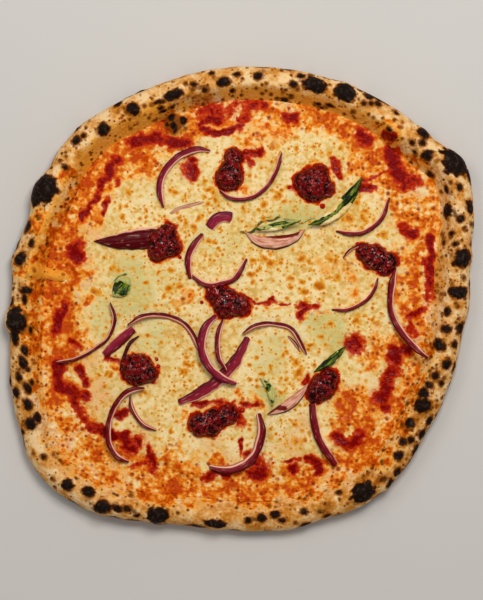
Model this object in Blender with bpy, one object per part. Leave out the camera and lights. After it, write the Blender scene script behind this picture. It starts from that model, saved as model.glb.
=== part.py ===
"""Nduja pizza, whole and uncut, about 320 mm across.

An uneven puffed crust carries a thin layer of tomato sauce and an uneven sheet of melted
cheese. On the cheese lie eight dollops of soft nduja sausage, strips, petals and slices of
red onion, and five pieces of basil. Lengths are in millimetres until a mesh is finished,
x to the right, y away from the eater, z up from the flat underside.
"""

import math

import bmesh
import bpy
from mathutils import Vector, noise

MM = 0.001
GAP = 0.3  # air between pieces that lie on each other

# The rim's outer reach every 10 degrees, anticlockwise from +X.
RIM_RADII = (
    157, 160, 170, 178, 171, 168, 165, 162, 160, 159, 158, 157,
    158, 161, 161, 156, 156, 158, 158, 161, 168, 176, 184, 182,
    174, 164, 160, 160, 162, 162, 165, 164, 159, 156, 155, 154,
)
# The rim's width and height, and the reach of the cheese, every 30 degrees.
RIM_WIDTHS = (26, 25, 23, 24, 25, 24, 23, 23, 22, 21, 23, 25)
RIM_HEIGHTS = (18, 20, 18, 19, 20, 21, 18, 17, 18, 16, 18, 19)
CHEESE_RADII = (126, 124, 128, 124, 118, 122, 119, 131, 131, 124, 128, 126)

BASE_THICKNESS = 3.4
SAUCE_THICKNESS = 0.8
CHEESE_THICKNESS = 1.8
CHEESE_WAVE = 0.6  # how much the top of the cheese rises and falls
CHEESE_WAVE_LENGTH = 45
CHEESE_BAYS = ((2.4, 7, 1.0), (1.6, 13, 0.0))  # depth, number round the edge, start in radians
CHEESE_SETBACK = 4  # least bare sauce outside the cheese
SAUCE_SETBACK = 1.5  # air between the sauce and the rim's foot

# The rim's cross-section, as shares of its width and height.
CREST_IN = 0.48  # how far in from the edge the crest stands
WAIST_UP = 0.42  # how high the rim reaches furthest out
UNDERCUT_ANGLE = 50  # degrees of arc from there down to the floor
INNER_SLOPE_POWER = 1.5
BLISTER_SPREAD = 0.75  # a blister's dome ends this far from its middle, as a share of its length
SIDE_RELIEF = (0.5, 5)  # heights between which crags and blisters set in on the outer side
SLOPE_RELIEF = (1, 6)  # distances up the inner slope between which they set in
CRAG_HEIGHT = 0.9
CRAG_LENGTH = 17

CRUST_STEPS = 164
OUTER_STEPS = 8
INNER_STEPS = 6
INNER_RINGS = (6, 13, 21)  # how far inside the rim's foot the base has a ring of points
CHEESE_STEPS = 72
CHEESE_RINGS = (0.985, 0.93, 0.84, 0.72, 0.58, 0.43, 0.28, 0.14)
SAUCE_STEPS = 60
ROUND_RADIUS = 160  # the even ring that is turned first and then made uneven
ROUND_WIDTH = 24
ROUND_HEIGHT = 18

# Blisters that puffed up on the rim: x, y, length along the rim, width across it, rise.
BLISTERS = (
    (-137, 74, 26, 16, 6.0), (147, 95, 24, 17, 2.5), (51, 146, 19, 10, 2.0), (71, 141, 15, 13, 2.2),
    (152, 27, 12, 14, 2.0), (149, 4, 10, 14, 2.0), (124, -73, 13, 11, 2.0), (83, -133, 21, 12, 2.2),
    (-57, -150, 14, 14, 2.5), (-17, -155, 15, 8, 1.8), (-95, -144, 13, 11, 2.0), (-155, -15, 19, 14, 4.5),
    (-46, 139, 14, 8, 1.6), (-94, 115, 12, 9, 1.8), (-74, 129, 10, 10, 1.6), (-141, -84, 12, 11, 2.0),
    (125, 113, 11, 10, 1.8), (142, 60, 11, 11, 1.6), (135, -32, 10, 9, 1.4), (-119, -128, 10, 11, 1.5),
    (-104, -132, 10, 9, 1.4), (141, -45, 9, 9, 1.4), (-154, 27, 10, 10, 1.8), (115, -85, 10, 10, 1.4),
    (98, -129, 9, 9, 1.4), (14, -150, 11, 8, 1.4), (12, 152, 9, 8, 1.3), (-12, 148, 9, 9, 1.2),
)
# Bubbles of dough where the rim meets the sauce: x, y, radius, rise.
BUBBLES = ((-45, 120, 12, 6.0), (101, 113, 9, 4.0))
# A fold of dough that runs in from the rim: outer end, inner end, half width, rise.
FOLD = ((-150, 18), (-127, 16), 4.5, 3.5)
# Where sauce and cheese draw back round those: direction in degrees, depth, spread in degrees.
DRAWN_BACK = ((110.5, 20, 8.5), (48, 4, 6), (173, 14, 4))

# Dollops of nduja, each a few round lumps run together: x, y, radius, rise.
DOLLOPS = {
    "nduja_1": ((-7, 89, 7, 5.5), (-5, 97, 6.5, 6), (-8, 83, 9.5, 7.5)),
    "nduja_2": ((50, 78, 12, 8), (42, 80, 6.5, 6), (58, 75, 6.5, 6), (54, 86, 6, 6)),
    "nduja_3": ((-54, 38, 11, 7.5), (-58, 31, 6, 6), (-50, 46, 6, 6), (-47, 35, 6, 5)),
    "nduja_4": ((92, 28, 9, 7.5), (85, 31, 6, 5), (101, 25, 7, 6.5), (99, 20, 5, 4)),
    "nduja_5": ((-10, -3, 10, 7.5), (-17, 3, 7, 6), (-2, -5, 8, 6), (-12, -9, 5, 4)),
    "nduja_6": ((-71, -49, 11, 8), (-77, -45, 6, 5), (-64, -52, 7, 6)),
    "nduja_7": ((-19, -84, 8.5, 6), (-28, -87, 8.5, 6.5), (-9, -80, 7.5, 6), (-20, -90, 5.5, 5)),
    "nduja_8": ((56, -61, 9.5, 8), (60, -55, 7, 6), (52, -66, 7, 6)),
}
DOLLOP_EDGE = 0.9  # height of a dollop's edge above its underside
DOLLOP_UNEVEN = 0.10
DOLLOP_SIDES = 16
DOLLOP_ROWS = 8

# Strips of red onion on their cut edge: width, height, points along the middle.
ONION_STRIPS = {
    "onion_01": (4.8, 3.6, ((-53, 62), (-56, 74), (-53, 86), (-43, 97), (-30, 102), (-21, 101))),
    "onion_02": (3.4, 3.4, ((-15, 74), (-8, 69), (3, 68), (14, 73), (23, 85), (28, 100))),
    "onion_03": (9.0, 2.6, ((-22, 48), (-17, 54), (-11, 56), (-6, 55))),
    "onion_04": (4.8, 3.4, ((-27, 41), (-34, 32), (-36, 24), (-35, 18))),
    "onion_05": (4.1, 3.0, ((-33, 12), (-24, 9), (-14, 10), (-4, 14), (4, 27))),
    "onion_06": (3.4, 3.2, ((65, 46), (76, 44), (86, 46), (96, 54), (102, 69))),
    "onion_07": (2.2, 2.2, ((70, 27), (75, 33), (82, 36), (89, 37))),
    "onion_08": (2.8, 2.6, ((62, -8), (73, -8), (84, -3), (91, 5), (94, 14))),
    "onion_09": (4.8, 3.6, ((106, 21), (103, 5), (103, -9), (109, -22), (119, -34), (128, -41))),
    "onion_10": (2.8, 2.8, ((-90, -3), (-87, -14), (-91, -27), (-101, -35), (-114, -42), (-127, -44))),
    "onion_11": (3.4, 3.4, ((-78, -19), (-68, -13), (-54, -12), (-42, -16), (-34, -24), (-28, -38))),
    "onion_12": (2.8, 2.6, ((-70, -26), (-77, -32), (-81, -43))),
    "onion_13": (4.1, 3.4, ((-72, -63), (-82, -68), (-90, -82), (-91, -97), (-86, -108), (-77, -113))),
    "onion_14": (3.4, 3.0, ((-76, -67), (-75, -76), (-68, -86), (-58, -91))),
    "onion_15": (8.2, 2.4, ((5, -27), (-3, -42), (-14, -55), (-28, -65), (-43, -72))),
    "onion_16": (6.0, 3.6, ((-17, -12), (-25, -21), (-27, -35), (-22, -47), (-13, -55), (-3, -59))),
    "onion_17": (3.4, 3.2, ((-12, -14), (-16, -27), (-15, -41), (-10, -50))),
    "onion_18": (3.4, 3.2, ((1, -25), (10, -19), (23, -18), (35, -22), (45, -39))),
    "onion_19": (2.4, 2.0, ((32, -26), (37, -31), (40, -37))),
    "onion_20": (6.2, 3.6, ((12, -80), (14, -92), (10, -106), (1, -115), (-10, -118), (-22, -116))),
    "onion_21": (5.5, 3.6, ((49, -72), (50, -84), (54, -98), (65, -115))),
    "onion_22": (2.2, 1.8, ((-49, 58), (-41, 62), (-25, 66))),
}
STRIP_STATIONS = 9
STRIP_TAPER = 2.5  # a strip reaches its full width this many widths from its ends
STRIP_END_HEIGHT = 0.67  # its height at its ends, as a share of its full height
STRIP_SECTION = ((-0.5, 0), (0.5, 0), (0.5, 0.6), (0.22, 1), (-0.22, 1), (-0.5, 0.6))
STRIP_END = 0.45  # a strip's width at its ends, as a share of its full width
END_CLEARANCE = 2.5  # a piece wider than twice this ends this far from a dollop
DRAPE_SLOPE = 0.35  # how steeply a piece climbs over another one
CHEESE_FALL = (2, 8)  # distances past the cheese's edge over which a piece comes down to the sauce
RIM_CLEARANCE = 2  # how far inside the rim's foot a piece starts to climb it
DRAPE_PLACES = 6  # places between two stations where a piece is tested for what it lies on

# Flat pieces: outline, width, thickness, rise of the middle, points along the middle.
ONION_SHEETS = {
    "onion_23": ("petal", 15, 1.6, 2.6, ((-101, 39), (-84, 39), (-66, 41), (-50, 43))),
    "onion_24": ("crescent", 9.5, 1.6, 1.2, ((3, 45), (12, 39), (24, 38), (36, 41), (44, 47))),
    "onion_25": ("band", 7.5, 1.6, 1.4, ((-94, -39), (-84, -30), (-74, -21))),
    "onion_26": ("crescent", 7.5, 1.6, 1.2, ((18, -80), (30, -75), (40, -67), (46, -59))),
}
BASIL_LEAVES = {
    "basil_1": ("crescent", 9.5, 0.8, 1.8, ((83, 83), (78, 74), (71, 65), (64, 58), (56, 53), (46, 50))),
    "basil_2": ("crescent", 5.5, 0.8, 0.8, ((8, 47), (18, 48), (28, 50), (41, 53))),
    "basil_3": ("crescent", 12, 0.8, 1.0, ((-88, 1), (-82, 7), (-77, 14))),
    "basil_4": ("crescent", 6, 0.8, 1.2, ((50, -51), (62, -43), (72, -33))),
    "basil_5": ("crescent", 5, 0.8, 0.8, ((13, -55), (20, -63), (22, -74))),
}
SHEET_STATIONS = 9
SHEET_COLUMNS = 5
SHEET_LEAST_WIDTH = 1.0
LEAF_WAVE = 0.5

# Colour and roughness of each material.
MATERIALS = {
    "baked_dough": ((0.66, 0.42, 0.20), 0.75),
    "tomato_sauce": ((0.42, 0.05, 0.015), 0.45),
    "melted_cheese": ((0.80, 0.62, 0.32), 0.40),
    "soft_nduja": ((0.16, 0.01, 0.008), 0.30),
    "red_onion": ((0.30, 0.06, 0.13), 0.35),
    "basil": ((0.05, 0.13, 0.02), 0.50),
}

CURVE_STEPS = 12  # straight pieces between two given points of a curve
SHARP_ANGLE = 50  # degrees between two faces past which their edge stays sharp

placed = []  # place, half width and top of what already lies on the cheese


def around(values, angle):
    """The smooth value at an angle in degrees, from a list spaced evenly round the circle."""
    place = angle % 360 / 360 * len(values)
    first = int(place)
    share = place - first
    a, b, c, d = (values[(first + k) % len(values)] for k in (-1, 0, 1, 2))
    bend = share * (2 * a - 5 * b + 4 * c - d + share * (3 * (b - c) + d - a))
    return b + 0.5 * share * (c - a + bend)


def smooth_path(points, count):
    """This many points, evenly spaced along a smooth curve through the given ones."""
    given = [Vector(p) for p in points]
    ends = [2 * given[0] - given[1], *given, 2 * given[-1] - given[-2]]
    fine = []
    for a, b, c, d in zip(ends, ends[1:], ends[2:], ends[3:]):
        for step in range(CURVE_STEPS):
            t = step / CURVE_STEPS
            bend = t * (2 * a - 5 * b + 4 * c - d + t * (3 * (b - c) + d - a))
            fine.append(b + 0.5 * t * (c - a + bend))
    fine.append(given[-1])
    lengths = [0]
    for a, b in zip(fine, fine[1:]):
        lengths.append(lengths[-1] + (b - a).length)
    path = []
    for step in range(count):
        want = lengths[-1] * step / (count - 1)
        k = next(k for k in range(1, len(fine)) if lengths[k] >= want - 1e-9)
        share = (want - lengths[k - 1]) / (lengths[k] - lengths[k - 1])
        path.append(fine[k - 1].lerp(fine[k], share))
    return path


def bell(distance):
    """1 at no distance, falling smoothly to 0 at a distance of 1."""
    return (1 - distance * distance) ** 2 if distance < 1 else 0


def ease(value, low, high):
    """0 below the low value and 1 above the high one, with a smooth rise between."""
    share = min(max((value - low) / (high - low), 0), 1)
    return share * share * (3 - 2 * share)


def rim_foot(angle):
    """Where the rim meets the base."""
    return around(RIM_RADII, angle) - around(RIM_WIDTHS, angle)


def sauce_edge(angle):
    """The reach of the sauce, drawn back round the bubbles and the fold."""
    edge = rim_foot(angle) - SAUCE_SETBACK
    for middle, depth, spread in DRAWN_BACK:
        away = (angle - middle + 180) % 360 - 180
        edge -= depth * math.exp(-((away / spread) ** 2))
    return edge


def cheese_edge(angle):
    """The reach of the cheese, in uneven bays."""
    turn = math.radians(angle)
    bays = sum(depth * math.sin(number * turn + start) for depth, number, start in CHEESE_BAYS)
    return min(around(CHEESE_RADII, angle) + bays, sauce_edge(angle) - CHEESE_SETBACK)


def inner_slope(share, height):
    """Height of the rim's inner side, from its foot at 0 to its crest at 1."""
    rise = math.sin(math.pi / 2 * min(max(share, 0), 1)) ** INNER_SLOPE_POWER
    return BASE_THICKNESS + (height - BASE_THICKNESS) * rise


def sauce_top():
    return BASE_THICKNESS + GAP + SAUCE_THICKNESS


def cheese_top(x, y):
    wave = noise.noise(Vector((x, y, 0)) / CHEESE_WAVE_LENGTH)
    return sauce_top() + GAP + CHEESE_THICKNESS + CHEESE_WAVE * wave


def ground(x, y):
    """Top of the cheese, of the sauce outside it, or of the rim's inner side."""
    angle = math.degrees(math.atan2(y, x))
    radius = math.hypot(x, y)
    past = ease(radius - cheese_edge(angle), *CHEESE_FALL)
    height = cheese_top(x, y) + (sauce_top() - cheese_top(x, y)) * past
    up_the_rim = radius - rim_foot(angle) + RIM_CLEARANCE
    if up_the_rim > 0:
        share = up_the_rim / ((1 - CREST_IN) * around(RIM_WIDTHS, angle))
        height = max(height, inner_slope(share, around(RIM_HEIGHTS, angle)) + CRAG_HEIGHT)
    return height


def support(middle, side, half_width):
    """Top of whatever lies under a piece of this half width, pieces placed before it too."""
    edges = [middle + side * half_width * share for share in (-1, -0.5, 0, 0.5, 1)]
    height = max(ground(place.x, place.y) for place in edges)
    for other, other_half, top in placed:
        if (middle - other).length < half_width + other_half + GAP:
            height = max(height, top)
    return height


def draped(heights, spacing):
    """The lowest heights that clear the given ones and climb no faster than the slope."""
    return [
        max(h - DRAPE_SLOPE * spacing * abs(i - k) for k, h in enumerate(heights))
        for i in range(len(heights))
    ]


def finish(bm, name, material):
    """Makes a mesh in millimetres into an object in metres."""
    bmesh.ops.recalc_face_normals(bm, faces=bm.faces)
    bmesh.ops.scale(bm, vec=(MM, MM, MM), verts=bm.verts)
    mesh = bpy.data.meshes.new(name)
    bm.to_mesh(mesh)
    bm.free()
    mesh.shade_smooth()
    mesh.set_sharp_from_angle(angle=math.radians(SHARP_ANGLE))
    mesh.materials.append(material)
    made = bpy.data.objects.new(name, mesh)
    bpy.context.collection.objects.link(made)


def turned(profile, steps):
    """A closed body of revolution. The profile starts and ends on the axis."""
    bm = bmesh.new()
    verts = [bm.verts.new((radius, 0, z)) for radius, z in profile]
    edges = [bm.edges.new(pair) for pair in zip(verts, verts[1:])]
    bmesh.ops.spin(
        bm, geom=verts + edges, axis=(0, 0, 1), angle=2 * math.pi, steps=steps, use_merge=True
    )
    bmesh.ops.remove_doubles(bm, verts=bm.verts, dist=0.001)
    return bm


def crust_profile():
    """Half section of the even ring, from under the middle, over the rim, to the middle."""
    foot = ROUND_RADIUS - ROUND_WIDTH
    reach = CREST_IN * ROUND_WIDTH
    crest = ROUND_RADIUS - reach
    waist = WAIST_UP * ROUND_HEIGHT
    points = [(0, 0)]
    for step in range(OUTER_STEPS + 1):
        turn = -UNDERCUT_ANGLE + (90 + UNDERCUT_ANGLE) * step / OUTER_STEPS
        lift = math.sin(math.radians(turn))
        if turn < 0:
            z = waist * (1 + lift / math.sin(math.radians(UNDERCUT_ANGLE)))
        else:
            z = waist + (ROUND_HEIGHT - waist) * lift
        points.append((crest + reach * math.cos(math.radians(turn)), z))
    for step in range(INNER_STEPS - 1, -1, -1):
        share = step / INNER_STEPS
        points.append((foot + share * (crest - foot), inner_slope(share, ROUND_HEIGHT)))
    points += [(foot - inside, BASE_THICKNESS) for inside in INNER_RINGS]
    return [*points, (0, BASE_THICKNESS)]


def rim_relief(x, y, angle):
    """How far crags and blisters stand out from the even rim here."""
    relief = CRAG_HEIGHT * noise.noise(Vector((x, y, 0)) / CRAG_LENGTH)
    along = Vector((-math.sin(angle), math.cos(angle)))
    for blister_x, blister_y, length, width, rise in BLISTERS:
        away = Vector((x - blister_x, y - blister_y))
        side = away.dot(along) / (BLISTER_SPREAD * length)
        inward = away.dot(Vector((along.y, -along.x))) / (BLISTER_SPREAD * width)
        relief += rise * bell(math.hypot(side, inward))
    return relief


def dough_relief(x, y):
    """How high the bubbles and the fold stand where the rim meets the sauce."""
    relief = 0
    for bubble_x, bubble_y, radius, rise in BUBBLES:
        relief += rise * bell(math.hypot(x - bubble_x, y - bubble_y) / radius)
    outer, inner, half_width, rise = FOLD
    run = Vector(inner) - Vector(outer)
    share = min(max((Vector((x, y)) - Vector(outer)).dot(run) / run.length_squared, 0), 1)
    away = (Vector((x, y)) - Vector(outer) - share * run).length
    return relief + rise * bell(away / half_width)


def make_crust(material):
    """The base and its puffed rim, in one piece with a flat underside."""
    bm = turned(crust_profile(), CRUST_STEPS)
    round_foot = ROUND_RADIUS - ROUND_WIDTH
    round_crest = ROUND_RADIUS - CREST_IN * ROUND_WIDTH
    for vert in bm.verts:
        round_radius = math.hypot(vert.co.x, vert.co.y)
        angle = math.atan2(vert.co.y, vert.co.x)
        degrees = math.degrees(angle)
        width = around(RIM_WIDTHS, degrees)
        height = around(RIM_HEIGHTS, degrees)
        foot = rim_foot(degrees)
        z = vert.co.z
        if round_radius > round_foot:
            radius = foot + (round_radius - round_foot) / ROUND_WIDTH * width
        else:
            radius = round_radius * foot / round_foot
        x, y = radius * math.cos(angle), radius * math.sin(angle)
        upper = z > BASE_THICKNESS - 0.01 and round_radius < round_crest + 0.01
        if upper and round_radius > round_foot:
            share = (height - BASE_THICKNESS) / (ROUND_HEIGHT - BASE_THICKNESS)
            z = BASE_THICKNESS + (z - BASE_THICKNESS) * share
        elif not upper:
            z *= height / ROUND_HEIGHT
        vert.co = (x, y, z)
        if z < 0.01:
            continue
        core = foot + (1 - CREST_IN) * width
        middle = Vector((core * math.cos(angle), core * math.sin(angle), WAIST_UP * height))
        outward = (vert.co - middle).normalized()
        on_rim = ease(radius - foot, *SLOPE_RELIEF) if upper else ease(z, *SIDE_RELIEF)
        vert.co += outward * rim_relief(x, y, angle) * on_rim
        if upper:
            vert.co.z += dough_relief(x, y)
    finish(bm, "crust", material)


def make_sauce(material):
    """A thin even layer on the base."""
    low = BASE_THICKNESS + GAP
    high = low + SAUCE_THICKNESS
    bm = turned(((0, low), (0.99, low), (1, (low + high) / 2), (0.985, high), (0, high)), SAUCE_STEPS)
    for vert in bm.verts:
        edge = sauce_edge(math.degrees(math.atan2(vert.co.y, vert.co.x)))
        vert.co.x *= edge
        vert.co.y *= edge
    finish(bm, "tomato_sauce", material)


def make_cheese(material):
    """An uneven sheet with bays in its edge and a top that rises and falls."""
    low = sauce_top() + GAP
    middle = low + 0.4 * CHEESE_THICKNESS
    top = low + CHEESE_THICKNESS
    rings = [(share, top) for share in CHEESE_RINGS]
    bm = turned([(0, low), (0.985, low), (1, middle), *rings, (0, top)], CHEESE_STEPS)
    for vert in bm.verts:
        edge = cheese_edge(math.degrees(math.atan2(vert.co.y, vert.co.x)))
        vert.co.x *= edge
        vert.co.y *= edge
        if vert.co.z > middle + 0.01:
            vert.co.z = cheese_top(vert.co.x, vert.co.y)
    finish(bm, "cheese", material)


def dollop_reach(lumps, angle):
    """How far a dollop reaches from its first lump's middle, at an angle in radians."""
    x, y = lumps[0][:2]
    direction = Vector((math.cos(angle), math.sin(angle)))
    reach = 0
    for lump_x, lump_y, radius, _ in lumps:
        away = Vector((lump_x - x, lump_y - y))
        along = away.dot(direction)
        inside = radius * radius - (away.length_squared - along * along)
        if inside > 0:
            reach = max(reach, along + math.sqrt(inside))
    wobble = noise.noise(Vector((x, y, 0)) / 10 + Vector((*direction, 0)) * 2)
    return reach * (1 + DOLLOP_UNEVEN * wobble)


def make_dollop(name, lumps, material):
    """A lumpy dollop with a flat underside that follows the cheese."""
    centre_x, centre_y = lumps[0][:2]
    bm = bmesh.new()
    bmesh.ops.create_uvsphere(bm, u_segments=DOLLOP_SIDES, v_segments=DOLLOP_ROWS, radius=1)
    for vert in bm.verts:
        angle = math.atan2(vert.co.y, vert.co.x)
        out = math.hypot(vert.co.x, vert.co.y) * dollop_reach(lumps, angle)
        x, y = centre_x + out * math.cos(angle), centre_y + out * math.sin(angle)
        z = ground(x, y) + GAP
        if vert.co.z > -0.01:
            rises = [
                rise * math.sqrt(max(0, 1 - ((x - lx) ** 2 + (y - ly) ** 2) / radius**2))
                for lx, ly, radius, rise in lumps
            ]
            z += DOLLOP_EDGE + max(rises) * (1 + DOLLOP_UNEVEN * noise.noise(Vector((x, y, 9)) / 4))
        vert.co = (x, y, z)
    finish(bm, name, material)


def clear_run(path, half_width):
    """The longest stretch of a path that stays clear of every dollop."""
    runs = [[]]
    for point in path:
        free = True
        for lumps in DOLLOPS.values():
            away = point - Vector(lumps[0][:2])
            reach = dollop_reach(lumps, math.atan2(away.y, away.x))
            free &= away.length > reach + min(half_width, END_CLEARANCE) + 2 * GAP
        if free:
            runs[-1].append(point)
        elif runs[-1]:
            runs.append([])
    return max(runs, key=len)


def laid_out(points, width, height, count):
    """Stations of a piece: place, direction across, and height of its underside."""
    half = width / 2
    steps = DRAPE_PLACES * (count - 1)
    path = smooth_path(clear_run(smooth_path(points, steps), half), steps + 1)
    across = []
    for k in range(steps + 1):
        run = path[min(k + 1, steps)] - path[max(k - 1, 0)]
        across.append(Vector((-run.y, run.x)).normalized())
    under = [support(place, side, half) for place, side in zip(path, across)]
    under = draped(under, (path[1] - path[0]).length)
    floors = [
        max(under[max(k - DRAPE_PLACES, 0) : k + DRAPE_PLACES + 1]) + GAP
        for k in range(0, steps + 1, DRAPE_PLACES)
    ]
    for k, place in enumerate(path):
        near = floors[k // DRAPE_PLACES]
        far = floors[min(k // DRAPE_PLACES + 1, count - 1)]
        floor = near + (far - near) * (k % DRAPE_PLACES) / DRAPE_PLACES
        placed.append((place, half, floor + height))
    return list(zip(path[::DRAPE_PLACES], across[::DRAPE_PLACES], floors))


def make_strip(name, width, height, points, material):
    """An onion strip on its cut edge, narrower at its ends."""
    stations = laid_out(points, width, height, STRIP_STATIONS)
    length = sum((b[0] - a[0]).length for a, b in zip(stations, stations[1:]))
    bm = bmesh.new()
    face = None
    for k, (middle, side, floor) in enumerate(stations):
        run = min(k, STRIP_STATIONS - 1 - k) / (STRIP_STATIONS - 1) * length
        grown = ease(run, 0, STRIP_TAPER * width)
        wide = width * (STRIP_END + (1 - STRIP_END) * grown)
        high = height * (STRIP_END_HEIGHT + (1 - STRIP_END_HEIGHT) * grown)
        ring = [
            (*(middle + side * across * wide), floor + up * high) for across, up in STRIP_SECTION
        ]
        if face is None:
            face = bm.faces.new([bm.verts.new(place) for place in ring])
            continue
        made = bmesh.ops.extrude_face_region(bm, geom=[face])["geom"]
        if k > 1:
            bm.faces.remove(face)
        face = next(part for part in made if isinstance(part, bmesh.types.BMFace))
        for vert, place in zip(face.verts, ring):
            vert.co = place
    finish(bm, name, material)


def width_share(outline, share):
    """How wide a flat piece is at this share of its length."""
    if outline == "petal":
        return math.sin(math.pi / 2 * min(share / 0.7, 1)) ** 0.8 * (1 - 0.3 * ease(share, 0.7, 1))
    if outline == "crescent":
        return math.sin(math.pi * share) ** 0.8
    return 0.6 + 0.4 * math.sin(math.pi * share) ** 0.5


def make_sheet(name, outline, width, thickness, arch, points, wave, material):
    """A thin piece that lies flat, higher along its middle, with an optional wave."""
    stations = laid_out(points, width, thickness + arch, SHEET_STATIONS)
    bm = bmesh.new()
    bmesh.ops.create_grid(
        bm, x_segments=SHEET_STATIONS - 1, y_segments=SHEET_COLUMNS - 1, size=0.5
    )
    for vert in bm.verts:
        k = round((vert.co.x + 0.5) * (SHEET_STATIONS - 1))
        middle, side, floor = stations[k]
        share = k / (SHEET_STATIONS - 1)
        across = vert.co.y
        full = max(width * width_share(outline, share), SHEET_LEAST_WIDTH)
        place = middle + side * across * full
        rise = arch * full / width * (1 - 4 * across * across)
        rise += wave * (1 + math.sin(9 * share + 5 * across))
        vert.co = (*place, floor + rise)
    bmesh.ops.triangulate(bm, faces=bm.faces)
    made = bmesh.ops.extrude_face_region(bm, geom=bm.faces[:])["geom"]
    upper = [part for part in made if isinstance(part, bmesh.types.BMVert)]
    bmesh.ops.translate(bm, vec=(0, 0, thickness), verts=upper)
    finish(bm, name, material)


def make_material(name, colour, roughness):
    material = bpy.data.materials.new(name)
    material.use_nodes = True
    shader = material.node_tree.nodes["Principled BSDF"]
    shader.inputs["Base Color"].default_value = (*colour, 1)
    shader.inputs["Roughness"].default_value = roughness
    return material


def main():
    for thing in list(bpy.data.objects):
        bpy.data.objects.remove(thing)
    materials = {name: make_material(name, *look) for name, look in MATERIALS.items()}
    make_crust(materials["baked_dough"])
    make_sauce(materials["tomato_sauce"])
    make_cheese(materials["melted_cheese"])
    for name, lumps in DOLLOPS.items():
        make_dollop(name, lumps, materials["soft_nduja"])
    for name, piece in ONION_SHEETS.items():
        make_sheet(name, *piece, 0, materials["red_onion"])
    for name, piece in BASIL_LEAVES.items():
        make_sheet(name, *piece, LEAF_WAVE, materials["basil"])
    for name in sorted(ONION_STRIPS, key=lambda name: ONION_STRIPS[name][1]):
        make_strip(name, *ONION_STRIPS[name], materials["red_onion"])


main()
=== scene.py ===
"""Nduja pizza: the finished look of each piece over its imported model.

Laid out as an add-on with one operator for each kind of piece and one for the stage, and run
as a script. Lengths are in millimetres until a mesh is finished, x to the right, y away from
the eater, z up from the underside. Sizes and colours that a user would change are properties.
"""

import math
import random

import bmesh
import bpy
import numpy as np
from bpy.props import FloatProperty, FloatVectorProperty, PointerProperty
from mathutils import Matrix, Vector, noise
from mathutils.bvhtree import BVHTree


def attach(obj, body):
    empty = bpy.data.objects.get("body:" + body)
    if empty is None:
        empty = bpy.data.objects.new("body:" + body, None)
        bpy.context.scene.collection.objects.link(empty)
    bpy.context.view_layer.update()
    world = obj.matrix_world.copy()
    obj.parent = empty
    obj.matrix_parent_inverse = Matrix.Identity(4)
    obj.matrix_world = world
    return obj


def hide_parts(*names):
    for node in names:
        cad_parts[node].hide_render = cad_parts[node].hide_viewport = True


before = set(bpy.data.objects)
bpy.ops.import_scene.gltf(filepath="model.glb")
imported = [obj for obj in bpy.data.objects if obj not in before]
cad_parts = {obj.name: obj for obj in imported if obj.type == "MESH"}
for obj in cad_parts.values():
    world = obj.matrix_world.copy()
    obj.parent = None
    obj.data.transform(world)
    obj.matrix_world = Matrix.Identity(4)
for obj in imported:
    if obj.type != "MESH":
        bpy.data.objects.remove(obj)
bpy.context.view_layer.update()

bl_info = {
    "name": "Nduja pizza",
    "version": (1, 0, 0),
    "blender": (4, 5, 0),
    "location": "3D View > Sidebar > Pizza",
    "description": "Dresses the pizza's solids with dough, sauce, cheese and toppings",
    "category": "Add Mesh",
}

MM = 0.001
GAP = 0.3

# The crust's driving sizes, as the solids have them, apart from a slightly wider fold.
RIM_RADII = (
    157, 160, 170, 178, 171, 168, 165, 162, 160, 159, 158, 157,
    158, 161, 161, 156, 156, 158, 158, 161, 168, 176, 184, 182,
    174, 164, 160, 160, 162, 162, 165, 164, 159, 156, 155, 154,
)
RIM_WIDTHS = (26, 25, 23, 24, 25, 24, 23, 23, 22, 21, 23, 25)
RIM_HEIGHTS = (18, 20, 18, 19, 20, 21, 18, 17, 18, 16, 18, 19)
CHEESE_RADII = (126, 124, 128, 124, 118, 122, 119, 131, 131, 124, 128, 126)
BASE_THICKNESS = 3.4
SAUCE_THICKNESS = 0.8
CHEESE_THICKNESS = 1.8
CHEESE_WAVE = 0.6
CHEESE_WAVE_LENGTH = 45
CHEESE_BAYS = ((2.4, 7, 1.0), (1.6, 13, 0.0))  # depth, number round the edge, start in radians
CREST_IN = 0.48  # how far in from the edge the crest stands, as a share of the rim's width
WAIST_UP = 0.42  # how high the rim reaches furthest out, as a share of its height
UNDERCUT_ANGLE = 50  # degrees of arc from there down to the floor
INNER_SLOPE_POWER = 1.5
CRAG_LENGTH = 17
BLISTER_SPREAD = 0.75  # a blister ends this far from its middle, as a share of its length

# The even ring that is turned first and then pulled to the crust's own sizes.
ROUND_RADIUS = 160
ROUND_WIDTH = 24
ROUND_HEIGHT = 18
ROUND_FOOT = ROUND_RADIUS - ROUND_WIDTH
ROUND_CREST = ROUND_RADIUS - CREST_IN * ROUND_WIDTH

# How finely the crust is turned.
CRUST_STEPS = 1000
OUTER_STEPS = 30
INNER_STEPS = 22
FLOOR_RINGS = (*range(2, 29, 2), 60)  # how far inside the rim's foot the base has rings of points
UNDER_RINGS = 12

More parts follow.
